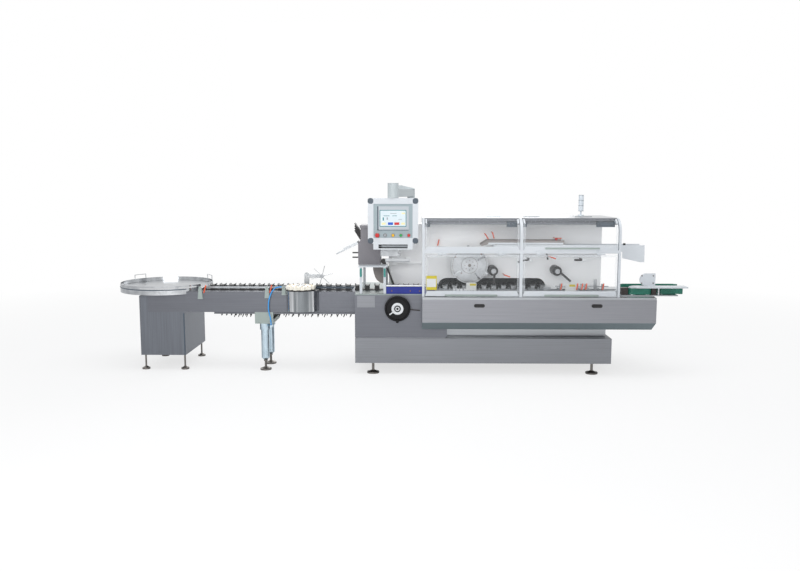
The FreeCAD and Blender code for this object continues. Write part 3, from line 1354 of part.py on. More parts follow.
def pusher(x):
    """Bucket block with a flared horn at each upper corner."""
    top = CHAIN_TOP_Z + PUSHER_HEIGHT
    end = x + PUSHER_LENGTH
    outline = [
        (x, CHAIN_TOP_Z),
        (end, CHAIN_TOP_Z),
        (end, top),
        (end + HORN_FLARE, top + HORN_RISE),
        (end - HORN_ROOT, top + HORN_ROOT),
        (x + HORN_ROOT, top + HORN_ROOT),
        (x - HORN_FLARE, top + HORN_RISE),
        (x, top),
    ]
    return front_prism(outline, LINE_Y - CHAIN_WIDTH / 2.0, LINE_Y + CHAIN_WIDTH / 2.0)


def return_chain():
    """Lower side of the chain with its fingers pointing down."""
    half = CHAIN_WIDTH / 2.0
    ceiling = BEAM_BOTTOM_Z + BEAM_SLOT_DEPTH
    top = ceiling - RETURN_CHAIN_HEIGHT
    x0 = CHAIN_LEFT_X + RETURN_INSET
    x1 = BASE_LEFT_X - RETURN_END_GAP
    band = block(x0, x1, LINE_Y - half, LINE_Y + half, top, ceiling)
    tip = BEAM_BOTTOM_Z - FINGER_DROP
    fingers = []
    for index in range(FINGER_COUNT):
        x = BASE_LEFT_X - FINGER_END_GAP - FINGER_PITCH * index
        lean = x + FINGER_ROOT + FINGER_TIP
        outline = [(x, top), (x + FINGER_ROOT, top), (lean + FINGER_TIP, tip), (lean, tip)]
        fingers.append(front_prism(outline, LINE_Y - half / 2.0, LINE_Y + half / 2.0))
    return fused(band, *fingers)


def make_chain():
    half = CHAIN_WIDTH / 2.0
    chain_end = CHAIN_LEFT_X + CHAIN_LENGTH
    upper = block(CHAIN_LEFT_X, chain_end, LINE_Y - half, LINE_Y + half, DECK_Z, CHAIN_TOP_Z)
    export("chain_pushers", *[pusher(x) for x in pusher_starts()])
    export("bucket_chain", upper, return_chain())


def a_bracket(x, width, bottom_z):
    """Tapered bracket on the beam front with a pin that carries the front guide rail."""
    middle = x
    half = width / 2.0
    shoulder = A_BRACKET_TOP_Z - A_BRACKET_HEAD
    y0 = BEAM_FRONT_Y - A_BRACKET_THICKNESS
    outline = [
        (middle - half, bottom_z),
        (middle + half, bottom_z),
        (middle + A_BRACKET_HEAD, shoulder),
        (middle - A_BRACKET_HEAD, shoulder),
    ]
    head = rod(A_BRACKET_HEAD, vec(middle, y0, shoulder), vec(middle, BEAM_FRONT_Y, shoulder))
    pin_z = GUIDE_RAIL_Z + GUIDE_RAIL_HEIGHT / 2.0
    pin_end = LINE_Y - GUIDE_RAIL_GAP / 2.0 - GUIDE_RAIL_WIDTH
    pin = rod(BRACKET_PIN_RADIUS, vec(middle, y0, pin_z), vec(middle, pin_end, pin_z))
    return fused(front_prism(outline, y0, BEAM_FRONT_Y), head, pin)


def hose_fitting():
    """Small block at the left of the smallest bracket, where the air hose starts."""
    x, z = HOSE_TOP
    half = HOSE_FITTING / 2.0
    y0 = BEAM_FRONT_Y - HOSE_FITTING
    return block(x, x + HOSE_FITTING, y0, BEAM_FRONT_Y, z - half, z + half)


def make_guides():
    rail_top = GUIDE_RAIL_Z + GUIDE_RAIL_HEIGHT
    rail_end = BASE_LEFT_X - GUIDE_RAIL_END_GAP
    rear_y = LINE_Y + GUIDE_RAIL_GAP / 2.0
    front_y = LINE_Y - GUIDE_RAIL_GAP / 2.0 - GUIDE_RAIL_WIDTH
    rear = block(CHAIN_LEFT_X, rail_end, rear_y, rear_y + GUIDE_RAIL_WIDTH, GUIDE_RAIL_Z, rail_top)
    post_y = rear_y + GUIDE_RAIL_WIDTH
    posts = []
    for x in RAIL_POST_XS:
        posts.append(block(x, x + RAIL_POST_LENGTH, post_y, post_y + RAIL_POST_WIDTH, BEAM_TOP_Z, rail_top))
    rail_x = A_BRACKETS[0][0] - GUIDE_RAIL_WIDTH
    left = block(rail_x, STAR_X - STAR_CLEAR, front_y, front_y + GUIDE_RAIL_WIDTH, GUIDE_RAIL_Z, rail_top)
    brackets = [a_bracket(*numbers) for numbers in A_BRACKETS]
    right_x = STAR_X + STAR_CLEAR
    right = block(right_x, rail_end, front_y, front_y + GUIDE_RAIL_WIDTH, GUIDE_RAIL_Z, rail_top)
    foot_x = rail_end - RAIL_POST_LENGTH
    right_post = block(foot_x, rail_end, front_y - RAIL_POST_WIDTH, front_y, BEAM_TOP_Z, rail_top)
    front = fused(left, hose_fitting(), *brackets)
    export("infeed_guides", fused(rear, *posts), front, fused(right, right_post))


def support_leg(y, bracket_z):
    tube = rod(LEG_RADIUS, vec(LEG_X, y, LEG_TUBE_BOTTOM_Z), vec(LEG_X, y, bracket_z))
    collar = rod(LEG_RADIUS + LEG_COLLAR_STEP, vec(LEG_X, y, bracket_z - LEG_COLLAR_HEIGHT), vec(LEG_X, y, bracket_z))
    tip_z = LEG_TUBE_BOTTOM_Z - LEG_TIP_HEIGHT
    tip = Part.makeCone(LEG_TIP_RADIUS, LEG_RADIUS, LEG_TIP_HEIGHT, vec(LEG_X, y, tip_z))
    pad = foot(LEG_X, y, LEG_PAD_RADIUS, LEG_STEM_RADIUS, tip_z)
    return fused(tube, collar, tip, pad)


def make_legs():
    bracket_z = BEAM_BOTTOM_Z - LEG_BRACKET_HEIGHT
    half = LEG_BRACKET_WIDTH / 2.0
    left = LEG_X - half
    right = LEG_X + half
    floor = block(left, right, BEAM_FRONT_Y, BEAM_REAR_Y, bracket_z, bracket_z + LEG_BRACKET_FLOOR)
    front = block(left, right, BEAM_FRONT_Y, BEAM_FRONT_Y + LEG_BRACKET_WALL, bracket_z, BEAM_BOTTOM_Z)
    rear = block(left, right, BEAM_REAR_Y - LEG_BRACKET_WALL, BEAM_REAR_Y, bracket_z, BEAM_BOTTOM_Z)
    front_leg_y = LINE_Y - LEG_SPACING / 2.0
    x, z = HOSE_END
    half_fitting = HOSE_FITTING / 2.0
    elbow = block(x - half_fitting, x + half_fitting, BEAM_FRONT_Y - HOSE_FITTING, front_leg_y, z - HOSE_FITTING, z)
    link = block(LEG_X, x + half_fitting, front_leg_y - half_fitting, front_leg_y, z - HOSE_FITTING, z)
    legs = [support_leg(y, bracket_z) for y in (front_leg_y, LINE_Y + LEG_SPACING / 2.0)]
    export("infeed_legs", fused(floor, front, rear, elbow, link, *legs))


# Air hose

def hose_points():
    """Corner points of the hose route, from the upper fitting to the lower one."""
    y = BEAM_FRONT_Y - HOSE_STANDOFF
    points = [vec(HOSE_TOP[0], y, HOSE_TOP[1])]
    points += [vec(x, y - bow, z) for x, bow, z in HOSE_ROUTE]
    points.append(vec(HOSE_END[0], y, HOSE_END[1]))
    return points


def make_hose():
    """Straight runs joined by tangent arcs, swept with the round section of the hose."""
    points = hose_points()
    edges = []
    length = 0.0
    radii = []
    start = points[0]
    for before, corner, after in zip(points, points[1:], points[2:]):
        into = corner.sub(before)
        out = after.sub(corner)
        trim = HOSE_TRIM * min(into.Length, out.Length)
        half_turn = into.getAngle(out) / 2.0
        radius = trim / math.tan(half_turn)
        into.normalize()
        out.normalize()
        arc_start = corner.sub(into * trim)
        arc_end = corner.add(out * trim)
        inward = out.sub(into).normalize()
        middle = corner.add(inward * (radius / math.cos(half_turn) - radius))
        edges.append(Part.LineSegment(start, arc_start).toShape())
        edges.append(Part.Arc(arc_start, middle, arc_end).toShape())
        length += arc_start.sub(start).Length + 2 * half_turn * radius
        radii.append(round(radius, 1))
        start = arc_end
    edges.append(Part.LineSegment(start, points[-1]).toShape())
    length += points[-1].sub(start).Length
    direction = points[1].sub(points[0])
    circle = Part.Wire(Part.makeCircle(HOSE_RADIUS, points[0], direction))
    hose = Part.Wire(edges).makePipeShell([circle], True, True)
    section = math.pi * HOSE_RADIUS**2
    print("hose radii", radii, "length", round(length, 2), "volume share", round(hose.Volume / (section * length), 5))
    export("air_hose", hose)


# Turntable

def make_table_cabinet():
    """Cabinet at the end of the beam, cut out where the beam rests in it."""
    x0 = TABLE_CABINET_LEFT_X
    cabinet = block(
        x0,
        x0 + TABLE_CABINET_WIDTH,
        BEAM_FRONT_Y,
        BEAM_FRONT_Y + TABLE_CABINET_DEPTH,
        TABLE_CABINET_BOTTOM_Z,
        TABLE_CABINET_TOP_Z,
    )
    beam = block(BEAM_LEFT_X, BASE_LEFT_X, BEAM_FRONT_Y, BEAM_REAR_Y, BEAM_BOTTOM_Z, BEAM_TOP_Z)
    export("turntable_cabinet", cabinet.cut(beam))
    pedestal = rod(PEDESTAL_RADIUS, vec(TABLE_X, TABLE_Y, TABLE_CABINET_TOP_Z), vec(TABLE_X, TABLE_Y, BEAM_TOP_Z))
    pan_top = BEAM_TOP_Z + PAN_THICKNESS
    pan = rod(RIM_RADIUS - RIM_THICKNESS, vec(TABLE_X, TABLE_Y, BEAM_TOP_Z), vec(TABLE_X, TABLE_Y, pan_top))
    seat = rod(SEAT_RADIUS, vec(TABLE_X, TABLE_Y, pan_top), vec(TABLE_X, TABLE_Y, TABLE_Z - TABLE_THICKNESS - SEAT_GAP))
    export("turntable_base", fused(pedestal.cut(beam), pan, seat))
    disc = rod(TABLE_RADIUS, vec(TABLE_X, TABLE_Y, TABLE_Z - TABLE_THICKNESS), vec(TABLE_X, TABLE_Y, TABLE_Z))
    export("turntable_disc", disc)


def rim_point(angle, z):
    radius = RIM_RADIUS - RIM_THICKNESS / 2.0
    turn = math.radians(angle)
    return vec(TABLE_X + radius * math.cos(turn), TABLE_Y + radius * math.sin(turn), z)


def wire_handle(angles):
    """Bent wire that stands on the rim."""
    rim_top = RIM_BOTTOM_Z + RIM_HEIGHT
    wire_z = rim_top + WIRE_RISE
    first = rim_point(angles[0], wire_z)
    last = rim_point(angles[1], wire_z)
    sides = [rod(WIRE_RADIUS, rim_point(angle, rim_top), rim_point(angle, wire_z)) for angle in angles]
    knees = [Part.makeSphere(WIRE_RADIUS, point) for point in (first, last)]
    return fused(rod(WIRE_RADIUS, first, last), *(sides + knees))


def make_rim():
    """Ring wall round the disc with two windows, an exit for the line and two wire handles."""
    rim_top = RIM_BOTTOM_Z + RIM_HEIGHT
    outer = rod(RIM_RADIUS, vec(TABLE_X, TABLE_Y, RIM_BOTTOM_Z), vec(TABLE_X, TABLE_Y, rim_top))
    inner = rod(RIM_RADIUS - RIM_THICKNESS, vec(TABLE_X, TABLE_Y, RIM_BOTTOM_Z), vec(TABLE_X, TABLE_Y, rim_top))
    ring = outer.cut(inner)
    right = TABLE_X + RIM_RADIUS
    cuts = [
        block(BEAM_LEFT_X, right, BEAM_FRONT_Y, BEAM_REAR_Y, RIM_BOTTOM_Z, BEAM_TOP_Z),
        block(
            TABLE_X,
            right,
            LINE_Y - RIM_EXIT_WIDTH / 2.0,
            LINE_Y + RIM_EXIT_WIDTH / 2.0,
            BEAM_TOP_Z + PAN_THICKNESS,
            rim_top,
        ),
    ]
    for x0, x1 in RIM_WINDOWS:
        cuts.append(block(x0, x1, TABLE_Y - 2 * RIM_RADIUS, TABLE_Y, RIM_WINDOW_Z[0], RIM_WINDOW_Z[1]))
    for cut in cuts:
        ring = ring.cut(cut)
    export("turntable_rim", fused(ring, *[wire_handle(angles) for angles in WIRE_ANGLES]))


# Star wheel and feeder star

def make_star():
    y = BASE_FRONT_Y + STAR_SETBACK
    step_x, step_y = DRUM_SIDE_STEP
    drum = rod(DRUM_RADIUS, vec(STAR_X, y, DRUM_BOTTOM_Z), vec(STAR_X, y, DRUM_RING_Z))
    side = rod(DRUM_RADIUS, vec(STAR_X + step_x, y + step_y, DRUM_BOTTOM_Z), vec(STAR_X + step_x, y + step_y, DRUM_RING_Z))
    behind = block(BEAM_LEFT_X, BASE_LEFT_X, BEAM_FRONT_Y, BEAM_REAR_Y, DRUM_BOTTOM_Z, BEAM_TOP_Z)
    over = block(BEAM_LEFT_X, BASE_LEFT_X, LINE_Y - GUIDE_RAIL_GAP / 2.0 - 2 * GUIDE_RAIL_WIDTH, BEAM_REAR_Y, BEAM_TOP_Z, DRUM_RING_Z)
    body = fused(drum, side).cut(behind).cut(over)
    ring_top = DRUM_RING_Z + DRUM_RING_HEIGHT
    ring = rod(DRUM_RING_RADIUS, vec(STAR_X, y, DRUM_RING_Z), vec(STAR_X, y, ring_top))
    chain_side = block(BEAM_LEFT_X, BASE_LEFT_X, LINE_Y - GUIDE_RAIL_GAP / 2.0 - 2 * GUIDE_RAIL_WIDTH, BEAM_REAR_Y, DRUM_RING_Z, ring_top)
    neck = rod(STAR_NECK_RADIUS, vec(STAR_X, y, ring_top), vec(STAR_X, y, STAR_Z - SEAT_GAP))
    export("star_drum", fused(body, ring.cut(chain_side), neck))
    wheel = rod(STAR_RADIUS, vec(STAR_X, y, STAR_Z), vec(STAR_X, y, STAR_Z + STAR_HEIGHT))
    pockets = []
    for index in range(STAR_POCKETS):
        angle = 2 * math.pi * index / STAR_POCKETS
        pocket_x = STAR_X + (STAR_RADIUS + POCKET_OFFSET) * math.cos(angle)
        pocket_y = y + (STAR_RADIUS + POCKET_OFFSET) * math.sin(angle)
        pockets.append(rod(POCKET_RADIUS, vec(pocket_x, pocket_y, STAR_Z), vec(pocket_x, pocket_y, STAR_Z + STAR_HEIGHT)))
    export("star_wheel", wheel.cut(fused(*pockets)))


def make_feeder():
    y = LINE_Y + GUIDE_RAIL_GAP / 2.0 + GUIDE_RAIL_WIDTH + FEEDER_OFFSET
    back = y + FEEDER_THICKNESS
    half = FEEDER_WIDTH / 2.0
    head_z = FEEDER_TOP_Z - half
    post = block(FEEDER_X - half, FEEDER_X + half, y, back, BEAM_TOP_Z, head_z)
    head = rod(half, vec(FEEDER_X, y, head_z), vec(FEEDER_X, back, head_z))
    low = FEEDER_STAR_Z - FEEDER_ARM_HALF
    high = FEEDER_STAR_Z + FEEDER_ARM_HALF
    arm = block(FEEDER_X, FEEDER_STAR_X, y, back, low, high)
    tip = rod(FEEDER_ARM_HALF, vec(FEEDER_STAR_X, y, FEEDER_STAR_Z), vec(FEEDER_STAR_X, back, FEEDER_STAR_Z))
    export("feeder_bracket", fused(post, head, arm, tip))
    star_y = y - FEEDER_ROD_PLANE
    hub_start = y - SEAT_GAP
    hub = rod(FEEDER_HUB_RADIUS, vec(FEEDER_STAR_X, hub_start, FEEDER_STAR_Z), vec(FEEDER_STAR_X, hub_start - FEEDER_HUB_LENGTH, FEEDER_STAR_Z))
    arms = []
    for index in range(FEEDER_ROD_COUNT):
        angle = math.radians(FEEDER_ROD_TURN + 360.0 * index / FEEDER_ROD_COUNT)
        end_x = FEEDER_STAR_X + FEEDER_ROD_LENGTH * math.cos(angle)
        end_z = FEEDER_STAR_Z + FEEDER_ROD_LENGTH * math.sin(angle)
        end = vec(end_x, star_y, end_z)
        arms.append(rod(FEEDER_ROD_RADIUS, vec(FEEDER_STAR_X, star_y, FEEDER_STAR_Z), end))
        arms.append(Part.makeSphere(FEEDER_ROD_TIP, end))
    export("feeder_star", fused(hub, *arms))


# Outfeed

def plan_stadium(x0, x1, y0, y1, z0, z1):
    """Upright shape with half-round ends, seen from above."""
    radius = (y1 - y0) / 2.0
    middle = block(x0 + radius, x1 - radius, y0, y1, z0, z1)
    ends = [Part.makeCylinder(radius, z1 - z0, vec(x, y0 + radius, z0)) for x in (x0 + radius, x1 - radius)]
    return fused(middle, *ends)


def side_belt(numbers, y0, z0, height):
    """Belt loop that stands on edge, and the two drums inside it."""
    offset, length, depth = numbers
    x0 = OUT_LEFT_X + offset
    x1 = x0 + length
    y1 = y0 + depth
    z1 = z0 + height
    wall = OUT_BELT_THICKNESS
    loop = plan_stadium(x0, x1, y0, y1, z0, z1)
    loop = loop.cut(plan_stadium(x0 + wall, x1 - wall, y0 + wall, y1 - wall, z0, z1))
    drum_radius = depth / 2.0 - wall
    low = z0 - OUT_BELT_GAP
    high = z1 + OUT_BELT_GAP
    drums = []
    for x in (x0 + depth / 2.0, x1 - depth / 2.0):
        drums.append(Part.makeCylinder(drum_radius, high - low, vec(x, y0 + depth / 2.0, low)))
    return loop, drums


def make_outfeed():
    frame_y1 = BEAM_FRONT_Y + OUT_FRAME_DEPTH
    plate_z = SILL_Z + OUT_PLATE_THICKNESS
    plate_y = BASE_FRONT_Y + OUT_PLATE_FRONT
    frame = block(CABINET_RIGHT_X, CABINET_RIGHT_X + OUT_FRAME_LENGTH, RECESS_Y, frame_y1, OUT_FRAME_BOTTOM_Z, SILL_Z)
    plate = block(OUT_LEFT_X, OUT_LEFT_X + OUT_PLATE_LENGTH, plate_y, plate_y + OUT_PLATE_DEPTH, SILL_Z, plate_z)
    export("outfeed_frame", fused(frame, plate))
    belt_z = plate_z + OUT_BELT_GAP
    front_y = TRACK_FRONT_Y - OUT_FRONT_BELT[2]
    second_y = TRACK_FRONT_Y - OUT_SECOND_BELT[2]
    first, first_drums = side_belt(OUT_FRONT_BELT, front_y, belt_z, OUT_BELT_HEIGHT)
    second, second_drums = side_belt(OUT_SECOND_BELT, second_y, belt_z, OUT_BELT_HEIGHT)
    rear, rear_drums = side_belt(OUT_REAR_BELT, TRACK_REAR_Y, belt_z, OUT_REAR_HEIGHT)
    export("outfeed_belts", first, second, rear)
    cover_z = belt_z + OUT_BELT_HEIGHT + OUT_BELT_GAP
    post_x = OUT_LEFT_X + OUT_BLOCK_LENGTH + OUT_POST_RADIUS + OUT_BELT_GAP
    post = rod(OUT_POST_RADIUS, vec(post_x, front_y, plate_z), vec(post_x, front_y, cover_z))
    export("outfeed_drums", post, *(first_drums + second_drums + rear_drums))
    block_y = TRACK_FRONT_Y - OUT_BLOCK_DEPTH
    dark = block(OUT_LEFT_X, OUT_LEFT_X + OUT_BLOCK_LENGTH, block_y, TRACK_FRONT_Y + RUN_GAP, plate_z, cover_z)
    pocket_x = OUT_LEFT_X + OUT_FRONT_BELT[0] - OUT_POCKET_GAP
    pocket = plan_stadium(
        pocket_x,
        pocket_x + OUT_FRONT_BELT[1] + 2 * OUT_POCKET_GAP,
        front_y - OUT_POCKET_GAP,
        TRACK_FRONT_Y + OUT_POCKET_GAP,
        plate_z,
        cover_z,
    )
    export("outfeed_block", *dark.cut(pocket).Solids)
    make_outfeed_cover(front_y, cover_z)


def make_outfeed_cover(front_y, z0):
    """Top plate with a pointed end and the pulley plate that stands on it."""
    z1 = z0 + OUT_COVER_THICKNESS
    x0 = OUT_LEFT_X + OUT_COVER_OFFSET
    x1 = x0 + OUT_COVER_LENGTH
    tip_x = x0 + OUT_COVER_TIP
    y0 = front_y - OUT_COVER_OVERHANG
    y1 = TRACK_FRONT_Y + OUT_COVER_OVERHANG
    plan = [(x0, (y0 + y1) / 2.0), (tip_x, y0), (x1, y0), (x1, y1), (tip_x, y1)]
    cover = plan_prism(plan, z0, z1)
    left = OUT_LEFT_X + PULLEY_PLATE_OFFSET
    right = left + PULLEY_PLATE_LENGTH
    plate_y = TRACK_FRONT_Y
    top = z1 + PULLEY_PLATE_HEIGHT
    radius = PULLEY_PLATE_HEIGHT / 2.0
    plate = block(left + radius, right, plate_y, plate_y + PULLEY_PLATE_THICKNESS, z1, top)
    cheek = rod(radius, vec(left + radius, plate_y, z1 + radius), vec(left + radius, plate_y + PULLEY_PLATE_THICKNESS, z1 + radius))
    foot_block = block(left + radius, left + 2 * radius, plate_y, plate_y + 2 * PULLEY_PLATE_THICKNESS, z1, z1 + PULLEY_PLATE_THICKNESS)
    export("outfeed_cover", fused(cover, plate, cheek, foot_block))


def make_tower():
    x = HOOD_RIGHT_X - TOWER_INSET
    y = BASE_FRONT_Y + TOWER_SETBACK + ROOF_PLATE_DEPTH / 2.0
    base_z = HOOD_TOP_Z + ROOF_PLATE_THICKNESS
    stem_z = base_z + TOWER_BASE_HEIGHT
    lamp_z = stem_z + TOWER_STEM_HEIGHT
    base = rod(TOWER_BASE_RADIUS, vec(x, y, base_z), vec(x, y, stem_z))
    stem = rod(TOWER_STEM_RADIUS, vec(x, y, stem_z), vec(x, y, lamp_z))
    lamp = rod(TOWER_LAMP_RADIUS, vec(x, y, lamp_z), vec(x, y, TOWER_TOP_Z))
    export("light_tower", fused(base, stem, lamp))


def main():
    os.makedirs("parts", exist_ok=True)
    make_base()
    make_feet()
    make_apron()
    make_pulls()
    make_back_plate()
    make_rear_housing()
    make_roof()
    make_roof_brackets()
    make_posts()
    make_mid_rails()
    make_upper_doors()
    make_lower_door("left", LEFT_BAY, GRIP_OFFSETS[0])
    make_lower_door("right", RIGHT_BAY, GRIP_OFFSETS[1])
    make_arm()
    make_panel()
    make_handwheel()
    make_entry()
    make_folder()
    make_leaflet_forks()
    make_leaflet_chute()
    make_picker()
    make_magazine()
    make_magazine_guides()
    make_guide_posts()
    make_track()
    make_clamps()
    make_levers()
    make_beam()
    make_chain()
    make_guides()
    make_legs()
    make_hose()
    make_table_cabinet()
    make_rim()
    make_star()
    make_feeder()
    make_outfeed()
    make_tower()


main()
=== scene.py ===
"""Looks of the automatic cartoner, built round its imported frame. Lengths are metres."""

import math

import bpy
import numpy as np
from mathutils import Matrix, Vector


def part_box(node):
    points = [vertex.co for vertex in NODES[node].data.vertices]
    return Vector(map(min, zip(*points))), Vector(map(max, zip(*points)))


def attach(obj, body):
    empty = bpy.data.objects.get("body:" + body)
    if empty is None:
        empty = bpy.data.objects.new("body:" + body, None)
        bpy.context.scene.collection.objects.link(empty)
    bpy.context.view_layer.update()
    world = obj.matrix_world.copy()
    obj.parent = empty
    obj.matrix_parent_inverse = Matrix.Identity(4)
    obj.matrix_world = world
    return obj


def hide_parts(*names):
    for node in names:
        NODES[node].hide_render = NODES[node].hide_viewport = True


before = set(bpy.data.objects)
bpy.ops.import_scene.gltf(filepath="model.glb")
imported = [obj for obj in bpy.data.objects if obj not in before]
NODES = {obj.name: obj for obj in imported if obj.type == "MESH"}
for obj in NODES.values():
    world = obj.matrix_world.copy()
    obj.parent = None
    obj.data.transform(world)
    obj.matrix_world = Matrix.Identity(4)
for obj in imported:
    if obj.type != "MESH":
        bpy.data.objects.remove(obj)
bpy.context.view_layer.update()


# Camera, at standing eye height and turned slightly to the left. Angles are degrees.

CAMERA_PLACE = (0.187, -8.440, 1.896)
CAMERA_PITCH = 7.0
CAMERA_YAW = 1.0
LENS = 36.0
SENSOR = 36.0


def make_camera():
    """Camera tipped down by its pitch and turned to the left by its yaw."""
    data = bpy.data.cameras.new("camera")
    data.lens = LENS
    data.sensor_width = SENSOR
    camera = bpy.data.objects.new("camera", data)
    camera.location = CAMERA_PLACE
    camera.rotation_euler = (math.radians(90 - CAMERA_PITCH), 0, math.radians(CAMERA_YAW))
    bpy.context.scene.collection.objects.link(camera)
    bpy.context.scene.camera = camera


make_camera()


# Materials

def linear(code):
    """sRGB hex to linear red, green and blue with alpha 1: each channel undoes the sRGB curve."""
    srgb = np.array([int(code[i:i + 2], 16) for i in (1, 3, 5)]) / 255.0
    rgb = np.where(srgb <= 0.04045, srgb / 12.92, ((srgb + 0.055) / 1.055) ** 2.4)
    return (*rgb.tolist(), 1.0)


def add(tree, kind, links=None, **settings):
    """Add one node. A setting is a property or, where none has that name, an input socket."""
    made = tree.nodes.new(kind)
    for name, value in settings.items():
        if hasattr(made, name):
            setattr(made, name, value)
        else:
            made.inputs[name.replace("_", " ")].default_value = value
    for name, socket in (links or {}).items():
        tree.links.new(socket, made.inputs[name])
    return made


def surface(name, code, roughness, metallic=0.0, **settings):
    """New material with a plain Principled surface. Returns it with its tree and shader."""
    material = bpy.data.materials.new(name)
    material.use_nodes = True
    tree = material.node_tree
    shader = tree.nodes["Principled BSDF"]
    shader.inputs["Base Color"].default_value = linear(code)
    shader.inputs["Roughness"].default_value = roughness
    shader.inputs["Metallic"].default_value = metallic
    for key, value in settings.items():
        shader.inputs[key.replace("_", " ")].default_value = value
    return material, tree, shader


def streaks(tree, scale):
    """Noise drawn out along one axis, as brushing leaves it. scale is cells per metre on each axis."""
    place = add(tree, "ShaderNodeTexCoord")
    stretch = add(tree, "ShaderNodeMapping", {"Vector": place.outputs["Object"]}, Scale=scale)
    return add(
        tree, "ShaderNodeTexNoise", {"Vector": stretch.outputs["Vector"]}, Scale=1.0, Detail=4.0
    ).outputs["Fac"]


def tinted(tree, shader, factor, low, high, span=(0.3, 0.7)):
    """Colour that runs from low to high as factor crosses span."""
    ramp = add(tree, "ShaderNodeValToRGB", {"Fac": factor})
    ramp.color_ramp.elements[0].position = span[0]
    ramp.color_ramp.elements[1].position = span[1]
    ramp.color_ramp.elements[0].color = linear(low)
    ramp.color_ramp.elements[1].color = linear(high)
    tree.links.new(ramp.outputs["Color"], shader.inputs["Base Color"])
    return ramp


def roughened(tree, shader, factor, low, high):
    """Roughness that runs from low to high with factor."""
    spread = add(tree, "ShaderNodeMapRange", {"Value": factor}, To_Min=low, To_Max=high)
    tree.links.new(spread.outputs["Result"], shader.inputs["Roughness"])


def bumped(tree, shader, factor, depth):
    """Relief of the given depth in metres."""
    bump = add(tree, "ShaderNodeBump", {"Height": factor}, Strength=1.0, Distance=depth)
    tree.links.new(bump.outputs["Normal"], shader.inputs["Normal"])


# Brushing lines are far finer than a millimetre. They are drawn 8 mm wide so that they show.
BRUSH_ACROSS = 125.0
BRUSH_ALONG = 1.6
# Painted reflections of a rolled mirror: bands of light and dark, drawn about 80 mm wide.
REFLECTION_BAND_ACROSS = 13.0
REFLECTION_BAND_ALONG = 0.3
# Clouds, grain and marks are cells per metre.
COAT_CLOUDS = 1.3
ORANGE_PEEL = 260.0
PLASTIC_CLOUDS = 9.0
PLASTIC_GRAIN = 900.0
BELT_WEAVE = 420.0
METAL_CLOUDS = 14.0
TOOL_MARKS = 160.0
WIDE_MARKS = 60.0
DUST = 3.0
# Depths of relief are metres.
BRUSH_DEPTH = 0.00004
PEEL_DEPTH = 0.00008
GRAIN_DEPTH = 0.00005
WEAVE_DEPTH = 0.0001
MARK_DEPTH = 0.00006
# Height of the fold of the skirt. Below it the sheet is painted darker as shade.
SKIRT_SHADE_Z = 0.5555


def brushed_steel(name, low, high, along, roughness=(0.32, 0.46)):
    """Stainless sheet, brushed along one axis: a soft sheen with faint streaks."""
    material, tree, shader = surface(name, high, roughness[0], 1.0)
    scale = [BRUSH_ACROSS] * 3
    scale["xyz".index(along)] = BRUSH_ALONG
    lines = streaks(tree, scale)
    tinted(tree, shader, lines, low, high)
    roughened(tree, shader, lines, *roughness)
    bumped(tree, shader, lines, BRUSH_DEPTH)
    return material


def powder_coat(name, low, high, roughness=0.42):
    """Powder coat on sheet metal: even colour with a fine orange-peel relief."""
    material, tree, shader = surface(name, high, roughness)
    place = add(tree, "ShaderNodeTexCoord").outputs["Object"]
    cloud = add(tree, "ShaderNodeTexNoise", {"Vector": place}, Scale=COAT_CLOUDS, Detail=2.0).outputs["Fac"]
    peel = add(tree, "ShaderNodeTexNoise", {"Vector": place}, Scale=ORANGE_PEEL, Detail=1.0).outputs["Fac"]
    tinted(tree, shader, cloud, low, high)
    bumped(tree, shader, peel, PEEL_DEPTH)
    return material


def moulded(name, low, high, roughness, grain=PLASTIC_GRAIN, depth=GRAIN_DEPTH, **settings):
    """Moulded plastic or rubber: fine grain and a slight drift of colour."""
    material, tree, shader = surface(name, high, roughness, **settings)
    place = add(tree, "ShaderNodeTexCoord").outputs["Object"]
    cloud = add(tree, "ShaderNodeTexNoise", {"Vector": place}, Scale=PLASTIC_CLOUDS, Detail=3.0).outputs["Fac"]
    fine = add(tree, "ShaderNodeTexNoise", {"Vector": place}, Scale=grain, Detail=1.0).outputs["Fac"]
    tinted(tree, shader, cloud, low, high)
    bumped(tree, shader, fine, depth)
    return material


def tooled(tree, shader, roughness, grain):
    """Cloudy sheen and fine tool marks of worked metal. Returns the clouds."""
    place = add(tree, "ShaderNodeTexCoord").outputs["Object"]
    cloud = add(tree, "ShaderNodeTexNoise", {"Vector": place}, Scale=METAL_CLOUDS, Detail=4.0).outputs["Fac"]
    fine = add(tree, "ShaderNodeTexNoise", {"Vector": place}, Scale=grain, Detail=2.0).outputs["Fac"]
    roughened(tree, shader, cloud, *roughness)
    bumped(tree, shader, fine, MARK_DEPTH)
    return cloud


def machined(name, low, high, roughness=(0.25, 0.4), grain=TOOL_MARKS):
    """Machined or cast metal, whose colour follows the clouds of its sheen."""
    material, tree, shader = surface(name, high, roughness[0], 1.0)
    tinted(tree, shader, tooled(tree, shader, roughness, grain), low, high)
    return material


def painted_reflection_mirror(name, low, high, roughness=(0.06, 0.12), grain=WIDE_MARKS):
    """Mirror sheet rolled round a drum: tall bands of light and dark, painted into its colour as reflections.
    """
    material, tree, shader = surface(name, high, roughness[0], 1.0)
    tooled(tree, shader, roughness, grain)
    # Painted reflections: bands of light and dark in the colour.
    bands = streaks(tree, (REFLECTION_BAND_ACROSS, REFLECTION_BAND_ACROSS, REFLECTION_BAND_ALONG))
    tinted(tree, shader, bands, low, high, (0.42, 0.58))
    return material


def clear_acrylic(name, code, alpha):
    """Cast acrylic sheet: almost unseen, with a faint cool tint and clear reflections."""
    material, tree, shader = surface(name, code, 0.04, IOR=1.49, Alpha=alpha)
    place = add(tree, "ShaderNodeTexCoord").outputs["Object"]
    dust = add(tree, "ShaderNodeTexNoise", {"Vector": place}, Scale=DUST, Detail=2.0).outputs["Fac"]
    roughened(tree, shader, dust, 0.03, 0.08)
    return material


